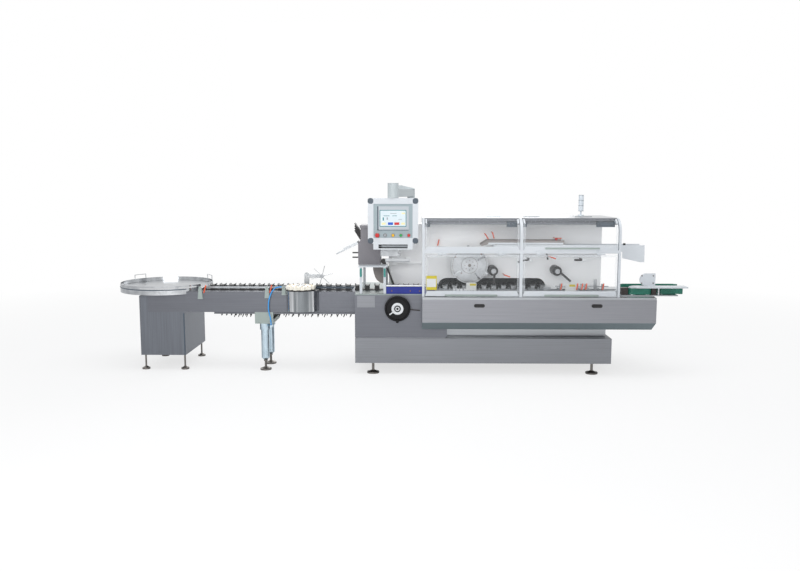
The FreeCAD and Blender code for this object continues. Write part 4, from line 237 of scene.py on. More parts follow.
def shade_banded_steel(name, low, high, edge_z, fold_shade):
    """Brushed sheet whose folded lower band, below edge_z, is painted darker as shade."""
    material, tree, shader = surface(name, high, 0.4, 1.0)
    lines = streaks(tree, (BRUSH_ALONG, BRUSH_ACROSS, BRUSH_ACROSS))
    ramp = tinted(tree, shader, lines, low, high)
    place = add(tree, "ShaderNodeTexCoord").outputs["Object"]
    height = add(tree, "ShaderNodeSeparateXYZ", {"Vector": place}).outputs["Z"]
    # Painted shade: below edge_z the colour turns to the darker fold colour.
    below = add(tree, "ShaderNodeMath", {0: height}, operation="LESS_THAN")
    below.inputs[1].default_value = edge_z
    mix = add(tree, "ShaderNodeMix", data_type="RGBA")
    tree.links.new(below.outputs[0], mix.inputs["Factor"])
    tree.links.new(ramp.outputs["Color"], mix.inputs[6])
    mix.inputs[7].default_value = linear(fold_shade)
    tree.links.new(mix.outputs[2], shader.inputs["Base Color"])
    roughened(tree, shader, lines, 0.34, 0.46)
    bumped(tree, shader, lines, BRUSH_DEPTH)
    return material


# Brushed stainless sheet: cool grey, streaks along the length of each panel.
sheet_steel = brushed_steel("brushed stainless sheet", "#6D6F75", "#74767C", "x")
# The same sheet on the plinth, a little lighter.
plinth_steel = brushed_steel("brushed stainless plinth sheet", "#838589", "#8B8D92", "x")
# The same sheet with the grain upright, on cabinets whose doors are brushed from top to bottom.
upright_steel = brushed_steel("brushed stainless sheet, upright grain", "#6C6F75", "#787C83", "z")
# Skirt of the machine: brushed sheet with painted shade, a darker band on the fold along its foot.
skirt_steel_painted_shade = shade_banded_steel("brushed stainless skirt with painted shade", "#8F9095", "#97989D", SKIRT_SHADE_Z, "#7E898D")
# Ground plates and ledges: lighter, and smoother than the panels. On the top of the hood roof and on the front
# of the cabinet under the apron, the same finish is a painted highlight.
plate_steel_and_painted_highlight = brushed_steel("ground steel plate and painted highlight", "#A9ACAF", "#B9BCBF", "x", (0.24, 0.36))
# Deck under the conveyors: greenish grey from the light that falls through the guards.
deck_steel = brushed_steel("brushed deck plate", "#7E8685", "#8A9291", "x", (0.4, 0.52))
# Roof of the hood: dull rolled sheet, darker than the frame below it.
roof_steel = brushed_steel("rolled roof sheet", "#6C6F74", "#777A80", "x", (0.42, 0.54))
# Polished stainless: nearly a mirror, darkened slightly by fine scratches.
polished = machined("polished stainless", "#B9BBBE", "#DCDEE0", (0.06, 0.16), WIDE_MARKS)
# Turned steel of pins, rods and feet: duller and darker.
turned = machined("turned steel", "#6E6A66", "#8A8683", (0.3, 0.45))
# Cast and machined aluminium: pale and satin.
cast = machined("machined aluminium", "#A4A7AA", "#BCBFC2", (0.28, 0.42))
# Light anodised extrusions of the guard frame: nearly white, soft sheen.
extrusion = powder_coat("light anodised aluminium", "#C6CBD0", "#D2D6DA", 0.36)
# Bezel round the screen: light grey coat.
panel_bezel = powder_coat("light grey bezel coat", "#AEB4BA", "#B9BFC4", 0.4)
# Face of the panel: grey-green textured polyester film.
panel_film = powder_coat("grey polyester film", "#93A1A6", "#9DABB0", 0.5)
# Round legs of the conveyor: cool satin tube.
leg_alloy = machined("satin aluminium tube", "#B8CAD5", "#CDDFE9", (0.24, 0.34), WIDE_MARKS)
# Clamps on the legs and the A brackets: grey-green painted castings.
casting_green = powder_coat("grey green casting paint", "#8E9995", "#9DA8A3", 0.45)
# Light grey powder coat of the back plate and housings.
pale_coat = powder_coat("light grey powder coat", "#F0F1F2", "#F8F9FA")
# Off-white coat of the panel arm: faintly green.
arm_coat = powder_coat("off-white powder coat", "#B2BABC", "#BEC6C8", 0.38)
# Grey hammer enamel of the folder: brownish grey.
folder_grey = powder_coat("grey enamel", "#6E6C71", "#7B797E", 0.4)
# Dark enamel of the blocks: near black brown.
dark_enamel = powder_coat("dark brown enamel", "#2A2422", "#3A3230", 0.4)
# Brown-grey enamel of the magazine guides.
brown_grey = powder_coat("brown grey enamel", "#7F7977", "#948D8A", 0.4)
# Deep blue enamel of the guide strip.
blue_enamel = powder_coat("deep blue enamel", "#0F2384", "#152E9C", 0.32)
# Black phenolic moulding of the handwheel: glossy.
black_gloss = moulded("black phenolic", "#08080A", "#101013", 0.3, Specular_IOR_Level=0.25)
# Black nylon of the buckets and pulls: satin.
black_nylon = moulded("black nylon", "#141314", "#242224", 0.4)
# Inside of the niche: dull black, painted shade of the deep opening.
niche_painted_shade = moulded("dull black painted shade", "#050506", "#0A0A0C", 0.9, Specular_IOR_Level=0.1)
# Orange glass-filled nylon of the clamping levers.
orange_nylon = moulded("orange nylon", "#CE4A22", "#E25A2C", 0.35)
# Cream acetal of the star wheel.
cream_acetal = moulded("cream acetal", "#E4DFD0", "#F2EEE3", 0.3)
# Green polyurethane belt with a woven face.
green_belt = moulded("green belting", "#1A6150", "#257764", 0.45, BELT_WEAVE, WEAVE_DEPTH)
# Light blue polyurethane air hose: glossy.
hose_blue = moulded("light blue polyurethane", "#2E90DA", "#42A4EA", 0.22)
# Clear acrylic of the guard doors.
acrylic = clear_acrylic("clear acrylic", "#F4F8FA", 0.03)
# Milky lens of the light tower.
milky = moulded("milky lens", "#CBD3DA", "#D8DFE5", 0.25)

# Rolled mirror drum: tall bands of light and dark painted into its colour, as painted reflections of its
# surroundings.
drum_steel_painted_reflections = painted_reflection_mirror("rolled mirror steel with painted reflections", "#85898C", "#F4F5F6")
# Panel buttons: glossy ABS caps in their signal colours.
button_red = moulded("red ABS", "#B5171B", "#CC2023", 0.25)
button_yellow = moulded("yellow ABS", "#D9A514", "#E8B61E", 0.25)
button_green = moulded("green ABS", "#1E8C46", "#27A153", 0.25)
button_grey = moulded("grey ABS", "#8F959A", "#9CA2A7", 0.3)
# Corner caps and seals: dark blue-grey moulded ABS. The same finish paints the shadow of the bezel and the
# shade in the gap of the turntable rail.
cap_dark_and_shade = moulded("dark blue grey ABS and painted shade", "#3D4853", "#48545F", 0.4)
# White ABS of rollers and rings: satin. The same finish paints the highlight on the handwheel.
white_moulding_and_highlight = moulded("white ABS and painted highlight", "#CDD0D2", "#D9DBDD", 0.3)
# Bare name plates: white lacquered sheet with a soft sheen.
plate_white = powder_coat("white lacquered plate", "#C9CBCA", "#D4D5D4", 0.35)
# Teal green sealing strip: satin rubber.
teal_rubber = moulded("teal rubber", "#2F7F78", "#3A9088", 0.5)
# Edge strips of the doors: thick clear acrylic that shows faintly white.
acrylic_edge = clear_acrylic("clear acrylic edge strip", "#E9EEF2", 0.22)
# Side faces of the posts: the same anodising, painted greyer as shade.
post_side_shade = powder_coat("anodised aluminium with painted side shade", "#8F99A3", "#9BA5AE", 0.4)
# Yellow lacquer of the bare sign plates.
plate_yellow = powder_coat("yellow lacquered plate", "#BDAE1F", "#CABB2B", 0.35)
# Brass screws and caps: warm and slightly dull.
brass = machined("turned brass", "#B08A45", "#CFA75A", (0.22, 0.36))
# Brown phenolic pads: woven laminate, matt.
brown_pad = moulded("brown laminate", "#6A4A3A", "#7C5A48", 0.5)
# Screen glass with its printed fields: glossy.
screen_white = moulded("screen white", "#D3E0E6", "#DEE8EC", 0.12)
screen_teal = moulded("screen teal", "#2A7C84", "#348A92", 0.12)
screen_cream = moulded("screen cream", "#EFE3A8", "#F4EABA", 0.12)
screen_blue = moulded("screen blue", "#2C57B8", "#3A66C8", 0.12)

FINISHES = {
    "plinth": plinth_steel,
    "main_cabinet": sheet_steel,
    "deck_plate": deck_steel,
    "levelling_feet": turned,
    "apron": skirt_steel_painted_shade,
    "guard_sill": plate_steel_and_painted_highlight,
    "apron_pulls": black_nylon,
    "back_plate": pale_coat,
    "rear_housing": pale_coat,
    "hood_roof": roof_steel,
    "roof_brackets": cap_dark_and_shade,
    "guard_posts": extrusion,
    "guard_mid_rails": extrusion,
    "upper_doors": extrusion,
    "upper_panes": acrylic,
    "lower_door_left": extrusion,
    "lower_pane_left": acrylic,
    "lower_door_right": extrusion,
    "lower_pane_right": acrylic,
    "arm_post": arm_coat,
    "swing_arm": arm_coat,
    "panel_frame": extrusion,
    "panel_face": panel_film,
    "panel_buttons": button_red,
    "panel_tray": extrusion,
    "handwheel": black_gloss,
    "handwheel_hub": polished,
    "clutch_lever": dark_enamel,
    "entry_frame": extrusion,
    "blue_guide": blue_enamel,
    "leaflet_folder": folder_grey,
    "leaflet_forks": black_nylon,
    "leaflet_chute": cast,
    "carton_picker": cast,
    "magazine_channel": extrusion,
    "magazine_guides": brown_grey,
    "guide_posts": black_nylon,
    "carton_track": plate_steel_and_painted_highlight,
    "carton_clamps": cast,
    "orange_levers": orange_nylon,
    "infeed_beam": sheet_steel,
    "chain_pushers": black_nylon,
    "bucket_chain": black_nylon,
    "infeed_guides": cast,
    "infeed_legs": leg_alloy,
    "turntable_cabinet": upright_steel,
    "turntable_base": plate_steel_and_painted_highlight,
    "turntable_disc": plate_steel_and_painted_highlight,
    "turntable_rim": polished,
    "star_drum": drum_steel_painted_reflections,
    "star_wheel": cream_acetal,
    "feeder_bracket": cast,
    "feeder_star": polished,
    "outfeed_frame": plate_steel_and_painted_highlight,
    "outfeed_belts": green_belt,
    "outfeed_drums": polished,
    "outfeed_block": dark_enamel,
    "outfeed_cover": extrusion,
    "light_tower": milky,
}


def dress(name, finish):
    """Give a node one finish all over."""
    data = NODES[name].data
    data.materials.clear()
    data.materials.append(finish)


for node_name, node_finish in FINISHES.items():
    dress(node_name, node_finish)


def dress_where(name, finish, chosen):
    """Give one more finish to the faces of a node whose middle and normal pass a test."""
    data = NODES[name].data
    count = len(data.polygons)
    middle = np.empty(count * 3)
    normal = np.empty(count * 3)
    slots = np.empty(count, dtype=np.int32)
    data.polygons.foreach_get("center", middle)
    data.polygons.foreach_get("normal", normal)
    data.polygons.foreach_get("material_index", slots)
    data.materials.append(finish)
    slots[chosen(*middle.reshape(-1, 3).T, *normal.reshape(-1, 3).T)] = len(data.materials) - 1
    data.polygons.foreach_set("material_index", slots)


def between(values, low, high):
    """True where a value lies inside the span from low to high."""
    return (values > low) & (values < high)


# Places where one finish of a node ends and the next begins, in metres
UPRIGHT = 0.9
SIDEWAYS = 0.7
LEDGE_Y = (-0.295, -0.285)
HEADER_Z = 1.54
HEADER_FRONT_Y = -0.40
ROOF_PLATE_Z = 1.5905
STAR_RAIL_X = -0.876
STAR_RAIL_Y = -0.14
STAR_RAIL_Z = 0.84
BRACKET_Y = -0.289
LEG_FOOT_Z = 0.11
LEG_CLAMP_Z = 0.494
KNOB_XS = (1.010, 1.668)
KNOB_Z = 1.035
KNOB_FACE = 0.0275
DRUM_TOP_Z = 0.8455
METAL_CHAIN_X = 0.44
HUB = (0.023, 0.685)
HUB_FACE = 0.0345
BEZEL_Y = -0.5362
BEZEL_Z = 1.47
TRAY_X = (-0.165, 0.125)
TRAY_Y = -0.535
TRAY_Z = (1.295, 1.335)
BUTTON_SPANS = ((button_grey, (-0.14, -0.06)), (button_yellow, (-0.06, 0.02)), (button_green, (0.02, 0.10)))
# Openings whose inside is painted black as shade: node, span of x, span of y and the height of the top.
SHADED_NICHES = (
    ("back_plate", (0.44, 1.58), (0.003, 0.1995), 0.944),
    ("rear_housing", (0.43, 1.59), (0.001, 0.201), 0.95),
)
PANE_ENDS = (0.318, 1.216, 1.294, 2.192)
STILE = 0.020
DOOR_Z = (0.868, 1.54)
MIDDLE_RAIL_Z = (1.24, 1.312)
TOP_RAIL_Z = (1.205, 1.2305)


def clear_edge(ends):
    """Test for the stiles at the pane ends, away from the middle rails, and for the rail below those."""
    def chosen(x, y, z, i, j, k):
        stile = np.abs(x[:, None] - ends).min(axis=1) < STILE
        clear = (z < MIDDLE_RAIL_Z[0]) | (z > MIDDLE_RAIL_Z[1])
        return between(z, *DOOR_Z) & (stile & clear | between(z, *TOP_RAIL_Z))
    return chosen


# A test takes a face's middle x, y, z and its normal i, j, k. A later finish lies over an earlier one.
# Painted highlight: the upward faces and the top plate of the hood roof get the lighter plate finish.
dress_where("hood_roof", plate_steel_and_painted_highlight, lambda x, y, z, i, j, k: k > UPRIGHT)
dress_where("hood_roof", plate_steel_and_painted_highlight, lambda x, y, z, i, j, k: z > ROOF_PLATE_Z)
# Painted reflection: the front of the cabinet under the apron gets the lighter plate finish.
dress_where("main_cabinet", plate_steel_and_painted_highlight, lambda x, y, z, i, j, k: (j < -UPRIGHT) & between(y, *LEDGE_Y))
dress_where("infeed_guides", cap_dark_and_shade,
            lambda x, y, z, i, j, k: (x > STAR_RAIL_X) & (y < STAR_RAIL_Y) & (z > STAR_RAIL_Z))
dress_where("infeed_guides", casting_green, lambda x, y, z, i, j, k: y < BRACKET_Y)
dress_where("infeed_legs", turned, lambda x, y, z, i, j, k: z < LEG_FOOT_Z)
dress_where("infeed_legs", casting_green, lambda x, y, z, i, j, k: z > LEG_CLAMP_Z)
dress_where("guide_posts", polished, lambda x, y, z, i, j, k: np.hypot(
    np.minimum(abs(x - KNOB_XS[0]), abs(x - KNOB_XS[1])), z - KNOB_Z) < KNOB_FACE)
# Painted shade: the sideways faces of the posts get the greyer finish.
dress_where("guard_posts", post_side_shade, lambda x, y, z, i, j, k: np.abs(i) > SIDEWAYS)
dress_where("star_drum", black_nylon, lambda x, y, z, i, j, k: z > DRUM_TOP_Z)
# Painted shade: the faces inside each opening get dull black.
for node_name, niche_x, niche_y, niche_top in SHADED_NICHES:
    dress_where(node_name, niche_painted_shade,
                lambda x, y, z, i, j, k: between(x, *niche_x) & between(y, *niche_y) & (z < niche_top))
for node_finish, button_x in BUTTON_SPANS:
    dress_where("panel_buttons", node_finish, lambda x, y, z, i, j, k: between(x, *button_x))
dress_where("upper_doors", roof_steel, lambda x, y, z, i, j, k: (z > HEADER_Z) & (y > HEADER_FRONT_Y))
for node_name, pane_ends in (
    ("upper_doors", PANE_ENDS),
    ("lower_door_left", PANE_ENDS[:2]),
    ("lower_door_right", PANE_ENDS[2:]),
):
    dress_where(node_name, acrylic_edge, clear_edge(pane_ends))
dress_where("handwheel_hub", black_gloss, lambda x, y, z, i, j, k: np.hypot(x - HUB[0], z - HUB[1]) < HUB_FACE)
for node_name in ("bucket_chain", "chain_pushers"):
    dress_where(node_name, cast, lambda x, y, z, i, j, k: x > METAL_CHAIN_X)
dress_where("panel_face", panel_bezel, lambda x, y, z, i, j, k: (y < BEZEL_Y) & (z > BEZEL_Z))
dress_where("panel_tray", black_nylon,
            lambda x, y, z, i, j, k: between(x, *TRAY_X) & between(z, *TRAY_Z) & (y > TRAY_Y))


# Shapes

AXES = {
    "front": np.array(((1.0, 0, 0), (0, 0, 1.0), (0, -1.0, 0))),
    "top": np.array(((1.0, 0, 0), (0, 1.0, 0), (0, 0, 1.0))),
}


def mm(*values):
    """Millimetres to metres."""
    return np.array(values) / 1000


def outline(width, height, corner, steps=32):
    """Rounded rectangle: a circle of the corner radius whose four quarters are moved apart."""
    turn = (np.arange(steps) + 0.5) * 2 * np.pi / steps
    round_part = np.c_[np.cos(turn), np.sin(turn)]
    return np.sign(round_part) * (np.array((width, height)) / 2 - corner) + corner * round_part


def capped(rings):
    """Skin over rings of points: closed round each ring, and run in to a pole at both ends."""
    many, around = rings.shape[:2]
    points = np.concatenate((rings.reshape(-1, 3), rings[[0, -1]].mean(axis=1)))
    here = np.arange(around)
    after = (here + 1) % around
    base = np.arange(many - 1)[:, None] * around
    quads = np.stack((base + here, base + after, base + around + after, base + around + here), 2)
    last = (many - 1) * around
    start = np.stack((after, here, np.full(around, many * around)), 1)
    end = np.stack((last + here, last + after, np.full(around, many * around + 1)), 1)
    return points, (quads.reshape(-1, 4), start, end)


def raised(edge, place, rows, facing="front"):
    """Boss on an outline. Each row is the outline drawn in by its first value, at its second as height."""
    inset, height = np.array(rows, float).T
    flat = edge * (1 - inset[:, None] / np.abs(edge).max(axis=0))[:, None]
    level = np.broadcast_to(height[:, None, None], (*flat.shape[:2], 1))
    return capped(np.concatenate((flat, level), 2) @ AXES[facing] + place)


def disc(place, radius, thick, facing="front", steps=32):
    """Round boss with a broken edge, from its place outwards."""
    edge = min(thick, radius) * 0.3
    rows = ((0, 0), (0, thick - edge), (edge, thick))
    return raised(outline(2 * radius, 2 * radius, radius, steps), place, rows, facing)


def slab(place, width, height, thick, corner=0.002, facing="front"):
    """Flat plate with round corners and a broken edge, from its place outwards."""
    edge = min(thick * 0.4, 0.003)
    rows = ((0, 0), (0, thick - edge), (edge, thick))
    return raised(outline(width, height, corner), place, rows, facing)


def hoop(place, radius, profile, facing="front", steps=64):
    """Ring: a closed profile of radial and height offsets, carried once round a circle."""
    turn = np.arange(steps) * 2 * np.pi / steps
    reach = radius + profile[:, 0]
    flat = np.stack((np.cos(turn)[:, None] * reach, np.sin(turn)[:, None] * reach), 2)
    level = np.broadcast_to(profile[:, 1][None, :, None], (*flat.shape[:2], 1))
    points = np.concatenate((flat, level), 2) @ AXES[facing] + place
    count = len(profile)
    i, j = np.meshgrid(np.arange(steps), np.arange(count), indexing="ij")
    next_i, next_j = (i + 1) % steps, (j + 1) % count
    quads = np.stack((i * count + j, next_i * count + j, next_i * count + next_j, i * count + next_j), axis=2)
    return points.reshape(-1, 3), (quads.reshape(-1, 4),)


def tube(route, radius, steps=16):
    """Circle carried along a route. The radius is one number, or one for each point of the route."""
    route = np.asarray(route, float)
    along = np.gradient(route, axis=0)
    along /= np.linalg.norm(along, axis=1)[:, None]
    aid = (0.0, 0.0, 1.0) if np.abs(along[:, 2]).max() < 0.9 else (0.0, 1.0, 0.0)
    side = np.cross(aid, along)
    side /= np.linalg.norm(side, axis=1)[:, None]
    other = np.cross(along, side)
    turn = np.arange(steps) * 2 * np.pi / steps
    ring = side[:, None] * np.cos(turn)[None, :, None] + other[:, None] * np.sin(turn)[None, :, None]
    size = np.broadcast_to(radius, len(route))[:, None, None]
    return capped(route[:, None] + size * ring)


def ball(place, radius, steps=20):
    """Ball knob: rings whose radius is the sine of the angle from its lower pole."""
    angle = np.linspace(0.12, np.pi - 0.12, 12)
    heights = np.c_[np.zeros((12, 2)), -radius * np.cos(angle)]
    return tube(heights + place, radius * np.sin(angle), steps)


def spun(shape, centre, angle):
    """The shape turned about the front-to-back line through centre."""
    points, faces = shape
    away = points - centre
    x = away[:, 0] * np.cos(angle) + away[:, 2] * np.sin(angle)
    z = away[:, 2] * np.cos(angle) - away[:, 0] * np.sin(angle)
    return np.c_[x, away[:, 1], z] + centre, faces


def piece(name, material, body, slot, *shapes):
    """One object of all the shapes, which rides on body."""
    points, faces, start = [], [], 0
    for shape_points, groups in shapes:
        points.append(shape_points)
        for group in groups:
            faces.extend((group + start).tolist())
        start += len(shape_points)
    data = bpy.data.meshes.new(name)
    data.from_pydata(np.concatenate(points).tolist(), [], faces)
    data.materials.append(material)
    data.polygons.foreach_set("use_smooth", np.ones(len(data.polygons), dtype=bool))
    data.set_sharp_from_angle(angle=math.radians(35))
    made = bpy.data.objects.new(name, data)
    bpy.context.scene.collection.objects.link(made)
    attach(made, body)


# Operator panel, with places in millimetres

PANEL_CORNERS = [(x, z) for x in (-240.5, 200.5) for z in (1372, 1762)]
BUTTONS = (-98, -20, 58, 136)
STOP_BUTTON = -176
BUTTON_ROW = 1425
PANEL_FACE = -535.9
BEZEL_FACE = -540.9
SCREEN = (-20, 1592)
TRAY_ROLL = (-512, 1315)
# Plain fields of the screen: middle x and z, then width and height.
SCREEN_FIELDS = (
    ("panel_screen_blue_field", screen_blue, ((-45, 1540, 50, 26),)),
    ("panel_screen_red_field", button_red, ((18, 1540, 50, 26),)),
    ("panel_screen_yellow_fields", screen_cream,
     ((-112, 1540, 40, 20), (80, 1540, 36, 20), (82, 1641, 34, 14))),
    ("panel_screen_blue_bar", screen_teal, ((-116, 1586, 12, 32), (-84, 1617, 60, 5), (-4, 1617, 46, 5))),
    ("panel_screen_grey_bars", button_grey, ((-16, 1641, 62, 5), (-76, 1590, 10, 24), (50, 1582, 34, 5))),
)


def make_panel_trim():
    """Corner caps, rings under the buttons, shadow of the bezel, roll of the tray and the screen."""
    cap = outline(0.058, 0.058, 0.022)
    rows = ((0.004, 0), (0, 0.004), (0, 0.080), (0.004, 0.084))
    piece("panel_corner_caps", cap_dark_and_shade, "panel", "black_plastic",
          *[raised(cap, mm(x, -458, z), rows) for x, z in PANEL_CORNERS])
    piece("panel_button_rings", turned, "panel", "polished_steel",
          *[disc(mm(x, PANEL_FACE, BUTTON_ROW), 0.018, 0.003) for x in BUTTONS],
          disc(mm(STOP_BUTTON, PANEL_FACE, BUTTON_ROW), 0.026, 0.003))
    # Painted shadow: thin dark strips beside and below the bezel.
    piece("panel_bezel_shadow", cap_dark_and_shade, "panel", "black_plastic",
          slab(mm(-169, BEZEL_FACE, 1592), 0.012, 0.236, 0.0006),
          slab(mm(-20, BEZEL_FACE, 1477), 0.308, 0.006, 0.0006))
    piece("panel_tray_roll", button_grey, "panel", "aluminium",
          tube([mm(x, *TRAY_ROLL) for x in (-136, -132, 118, 122)], mm(11, 14, 14, 11), 24),
          tube([mm(x, *TRAY_ROLL) for x in (-165, 125)], 0.005))
    piece("panel_screen_border", screen_teal, "panel", "panel_white",
          slab(mm(SCREEN[0], -538.4, SCREEN[1]), 0.263, 0.164, 0.0008))
    piece("panel_screen_field", screen_white, "panel", "panel_white",
          slab(mm(SCREEN[0], -539.1, SCREEN[1]), 0.250, 0.151, 0.0006))
    for name, finish, fields in SCREEN_FIELDS:
        piece(name, finish, "panel", "button_mix",
              *[slab(mm(x, -539.6, z), wide / 1000, high / 1000, 0.0006) for x, z, wide, high in fields])


make_panel_trim()


# Panel arm, in metres

POST_EDGE_X = 0.075
COVER_LEFT_X = 0.022


def make_arm_cover():
    """Sloping top of the arm: a wedge along it, as deep and as long as the arm beside its post."""
    data = NODES["swing_arm"].data
    spots = np.empty(len(data.vertices) * 3)
    data.vertices.foreach_get("co", spots)
    spots = spots.reshape(-1, 3)
    arm = spots[spots[:, 0] > POST_EDGE_X]
    low, high = arm.min(axis=0), arm.max(axis=0)
    middle = (COVER_LEFT_X + high[0]) / 2
    half = (high[0] - COVER_LEFT_X) / 2
    edge = np.array(((-half, 0), (half, 0), (half, 0.003), (half - 0.012, 0.010), (-half + 0.03, 0.040),
                     (-half, 0.040)))
    deep = high[1] - low[1]
    piece("arm_cover", arm_coat, "arm", "white_plate",
          raised(edge, (middle, high[1], high[2] - 0.001),
                 ((0.002, 0), (0, 0.003), (0, deep - 0.003), (0.002, deep))))


make_arm_cover()


# Handwheel, middle x and z in millimetres

WHEEL = (23, 685)


def make_wheel_trim():
    """Two rings on the hub and a painted highlight: a white stripe on the wheel at lower left."""
    centre = mm(WHEEL[0], -502.2, WHEEL[1])
    piece("handwheel_hub_rings", white_moulding_and_highlight, "hand_wheel", "white_plate",
          hoop(mm(WHEEL[0], -504.2, WHEEL[1]), 0.048, outline(0.020, 0.004, 0.0015, 12)),
          hoop(mm(WHEEL[0], -506.4, WHEEL[1]), 0.017, outline(0.010, 0.003, 0.001, 12)))
    # Painted highlight: a white stripe on the wheel at lower left.
    piece("handwheel_painted_highlight", white_moulding_and_highlight, "hand_wheel", "white_plate",
          spun(slab(centre + mm(80, 0, 0), 0.042, 0.012, 0.0015, 0.004), centre, math.radians(143)))


make_wheel_trim()


# Star wheel and infeed. The star is in millimetres, the painted shade line on the ring in metres and degrees.

STAR = (-976, -297)
STAR_TOP = 893.8
POCKETS = 12
POCKET_CIRCLE = 120
RING_CENTRE = (-2.470, 0.080)
RING_LINE_RADIUS = 0.4775
RING_LINE_Z = 0.852
RING_LINE_ENDS = (191, 310)
RING_LINE_STEPS = 48
RETURN_PUSHERS = (*range(-1660, -1480, 42), *range(-1195, -430, 67))


def make_infeed_trim():
    """Caps and plate of the star, foot of the beam, return pushers, painted shade in the gap of the turntable
    rail, and a dark line at the table door.
    """
    turn = np.arange(POCKETS) * 2 * np.pi / POCKETS + np.pi / POCKETS
    piece("star_pocket_caps", brass, "star", "orange_plastic",
          *[disc(mm(STAR[0] + POCKET_CIRCLE * math.cos(a), STAR[1] + POCKET_CIRCLE * math.sin(a), STAR_TOP),
                 0.006, 0.004, "top", 20) for a in turn])
    piece("star_hub_plate", polished, "star", "polished_steel",
          disc(mm(*STAR, STAR_TOP), 0.045, 0.006, "top"), disc(mm(*STAR, 899.5), 0.014, 0.008, "top"))
    piece("beam_foot_flange", sheet_steel, "machine", "stainless",
          slab(mm(-1145, -283, 596), 1.470, 0.014, 0.0181, 0.002, "top"))
    piece("return_run_pushers", black_nylon, "machine", "black_plastic",
          *[tube((mm(x, -262, 613.9), mm(x - 4, -262, 590), mm(x - 16, -262, 560)), mm(7, 6, 4), 10)
            for x in RETURN_PUSHERS])
    angle = np.radians(np.linspace(*RING_LINE_ENDS, RING_LINE_STEPS))
    arc = np.c_[
        RING_CENTRE[0] + RING_LINE_RADIUS * np.cos(angle),
        RING_CENTRE[1] + RING_LINE_RADIUS * np.sin(angle),
        np.full(RING_LINE_STEPS, RING_LINE_Z),
    ]
    # Painted shade: a dark tube along the gap of the turntable rail.
    piece("turntable_rail_gap_shade", cap_dark_and_shade, "machine", "black_plastic", tube(arc, 0.006, 12))
    piece("table_door_edge", cap_dark_and_shade, "machine", "black_plastic",
          slab(mm(-2196, -289.9, 382), 0.014, 0.436, 0.0015))


make_infeed_trim()


# Entry of the main machine

def make_entry_trim():
    """Seal strips, shield, chute strips, leaflet roller, blue guide and the bare cabinet plate."""
    piece("post_seal_strips", teal_rubber, "machine", "black_plastic",
          *[slab(mm(x, -432.9, 1042), 0.020, 0.086, 0.0015) for x in (-348, -108)])
    edge = mm((-59, 96), (-56, 40), (-46, 0), (-34, -36), (-14, -66), (14, -88), (40, -96), (59, -96),
              (59, 96))
    piece("entry_shield", brown_grey, "machine", "brown_grey",
          raised(edge, mm(-181, -154, 999), ((0, 0), (0, 0.005), (0.001, 0.006))))
    piece("chute_strips", casting_green, "machine", "brown_grey",
          tube((mm(-100, -150, 1100), mm(-44, -120, 905), mm(-36, -110, 880)), 0.006),
          tube((mm(-80, -140, 1084), mm(-62, -130, 1000), mm(-30, -110, 900)), 0.005))
    piece("leaflet_roller", white_moulding_and_highlight, "machine", "white_plate",
          tube([mm(x, -222, 1150) for x in (-108, -104, 143, 147)], mm(16, 20, 20, 16), 28))
    piece("leaflet_roller_arms", turned, "machine", "polished_steel",
          *[tube((mm(x, -215, 1150), mm(x, -9, 1150)), 0.007) for x in (-52, 96)])
    piece("blue_guide_cover", pale_coat, "machine", "white_plate",
          slab(mm(153, -419.9, 909.5), 0.490, 0.013, 0.0012))
    piece("blue_guide_lip", cap_dark_and_shade, "machine", "black_plastic",
          slab(mm(153, -419.9, 901), 0.490, 0.005, 0.0014))
    piece("blue_guide_screws", brown_pad, "machine", "dark_enamel",
          *[disc(mm(x, -419.9, 856), 0.007, 0.003, steps=20) for x in (-36, 151, 244)])
    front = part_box("main_cabinet")[0][1]
    piece("bare_cabinet_plate", plinth_steel, "machine", "stainless",
          slab((-0.2965, front + 0.0001, 0.7475), 0.181, 0.117, 0.0015))


make_entry_trim()


# Carton picker, magazine and track, with places in millimetres

PICKER = (763, 1094)
PICKER_BOLTS = 8
BOLT_CIRCLE = 48
PICKER_RING_RADII = (0.084, 0.176)
PAD_PLACES = ((-145, 88), (-86, -79), (120, 118))
SUCTION_TURNS = (-31, 144, 54)
CARTON_WHEELS = (1388, 1933)


def at_picker(x, y, z):
    """A place whose x and z are counted from the shaft of the picker."""
    return mm(PICKER[0] + x, y, PICKER[1] + z)


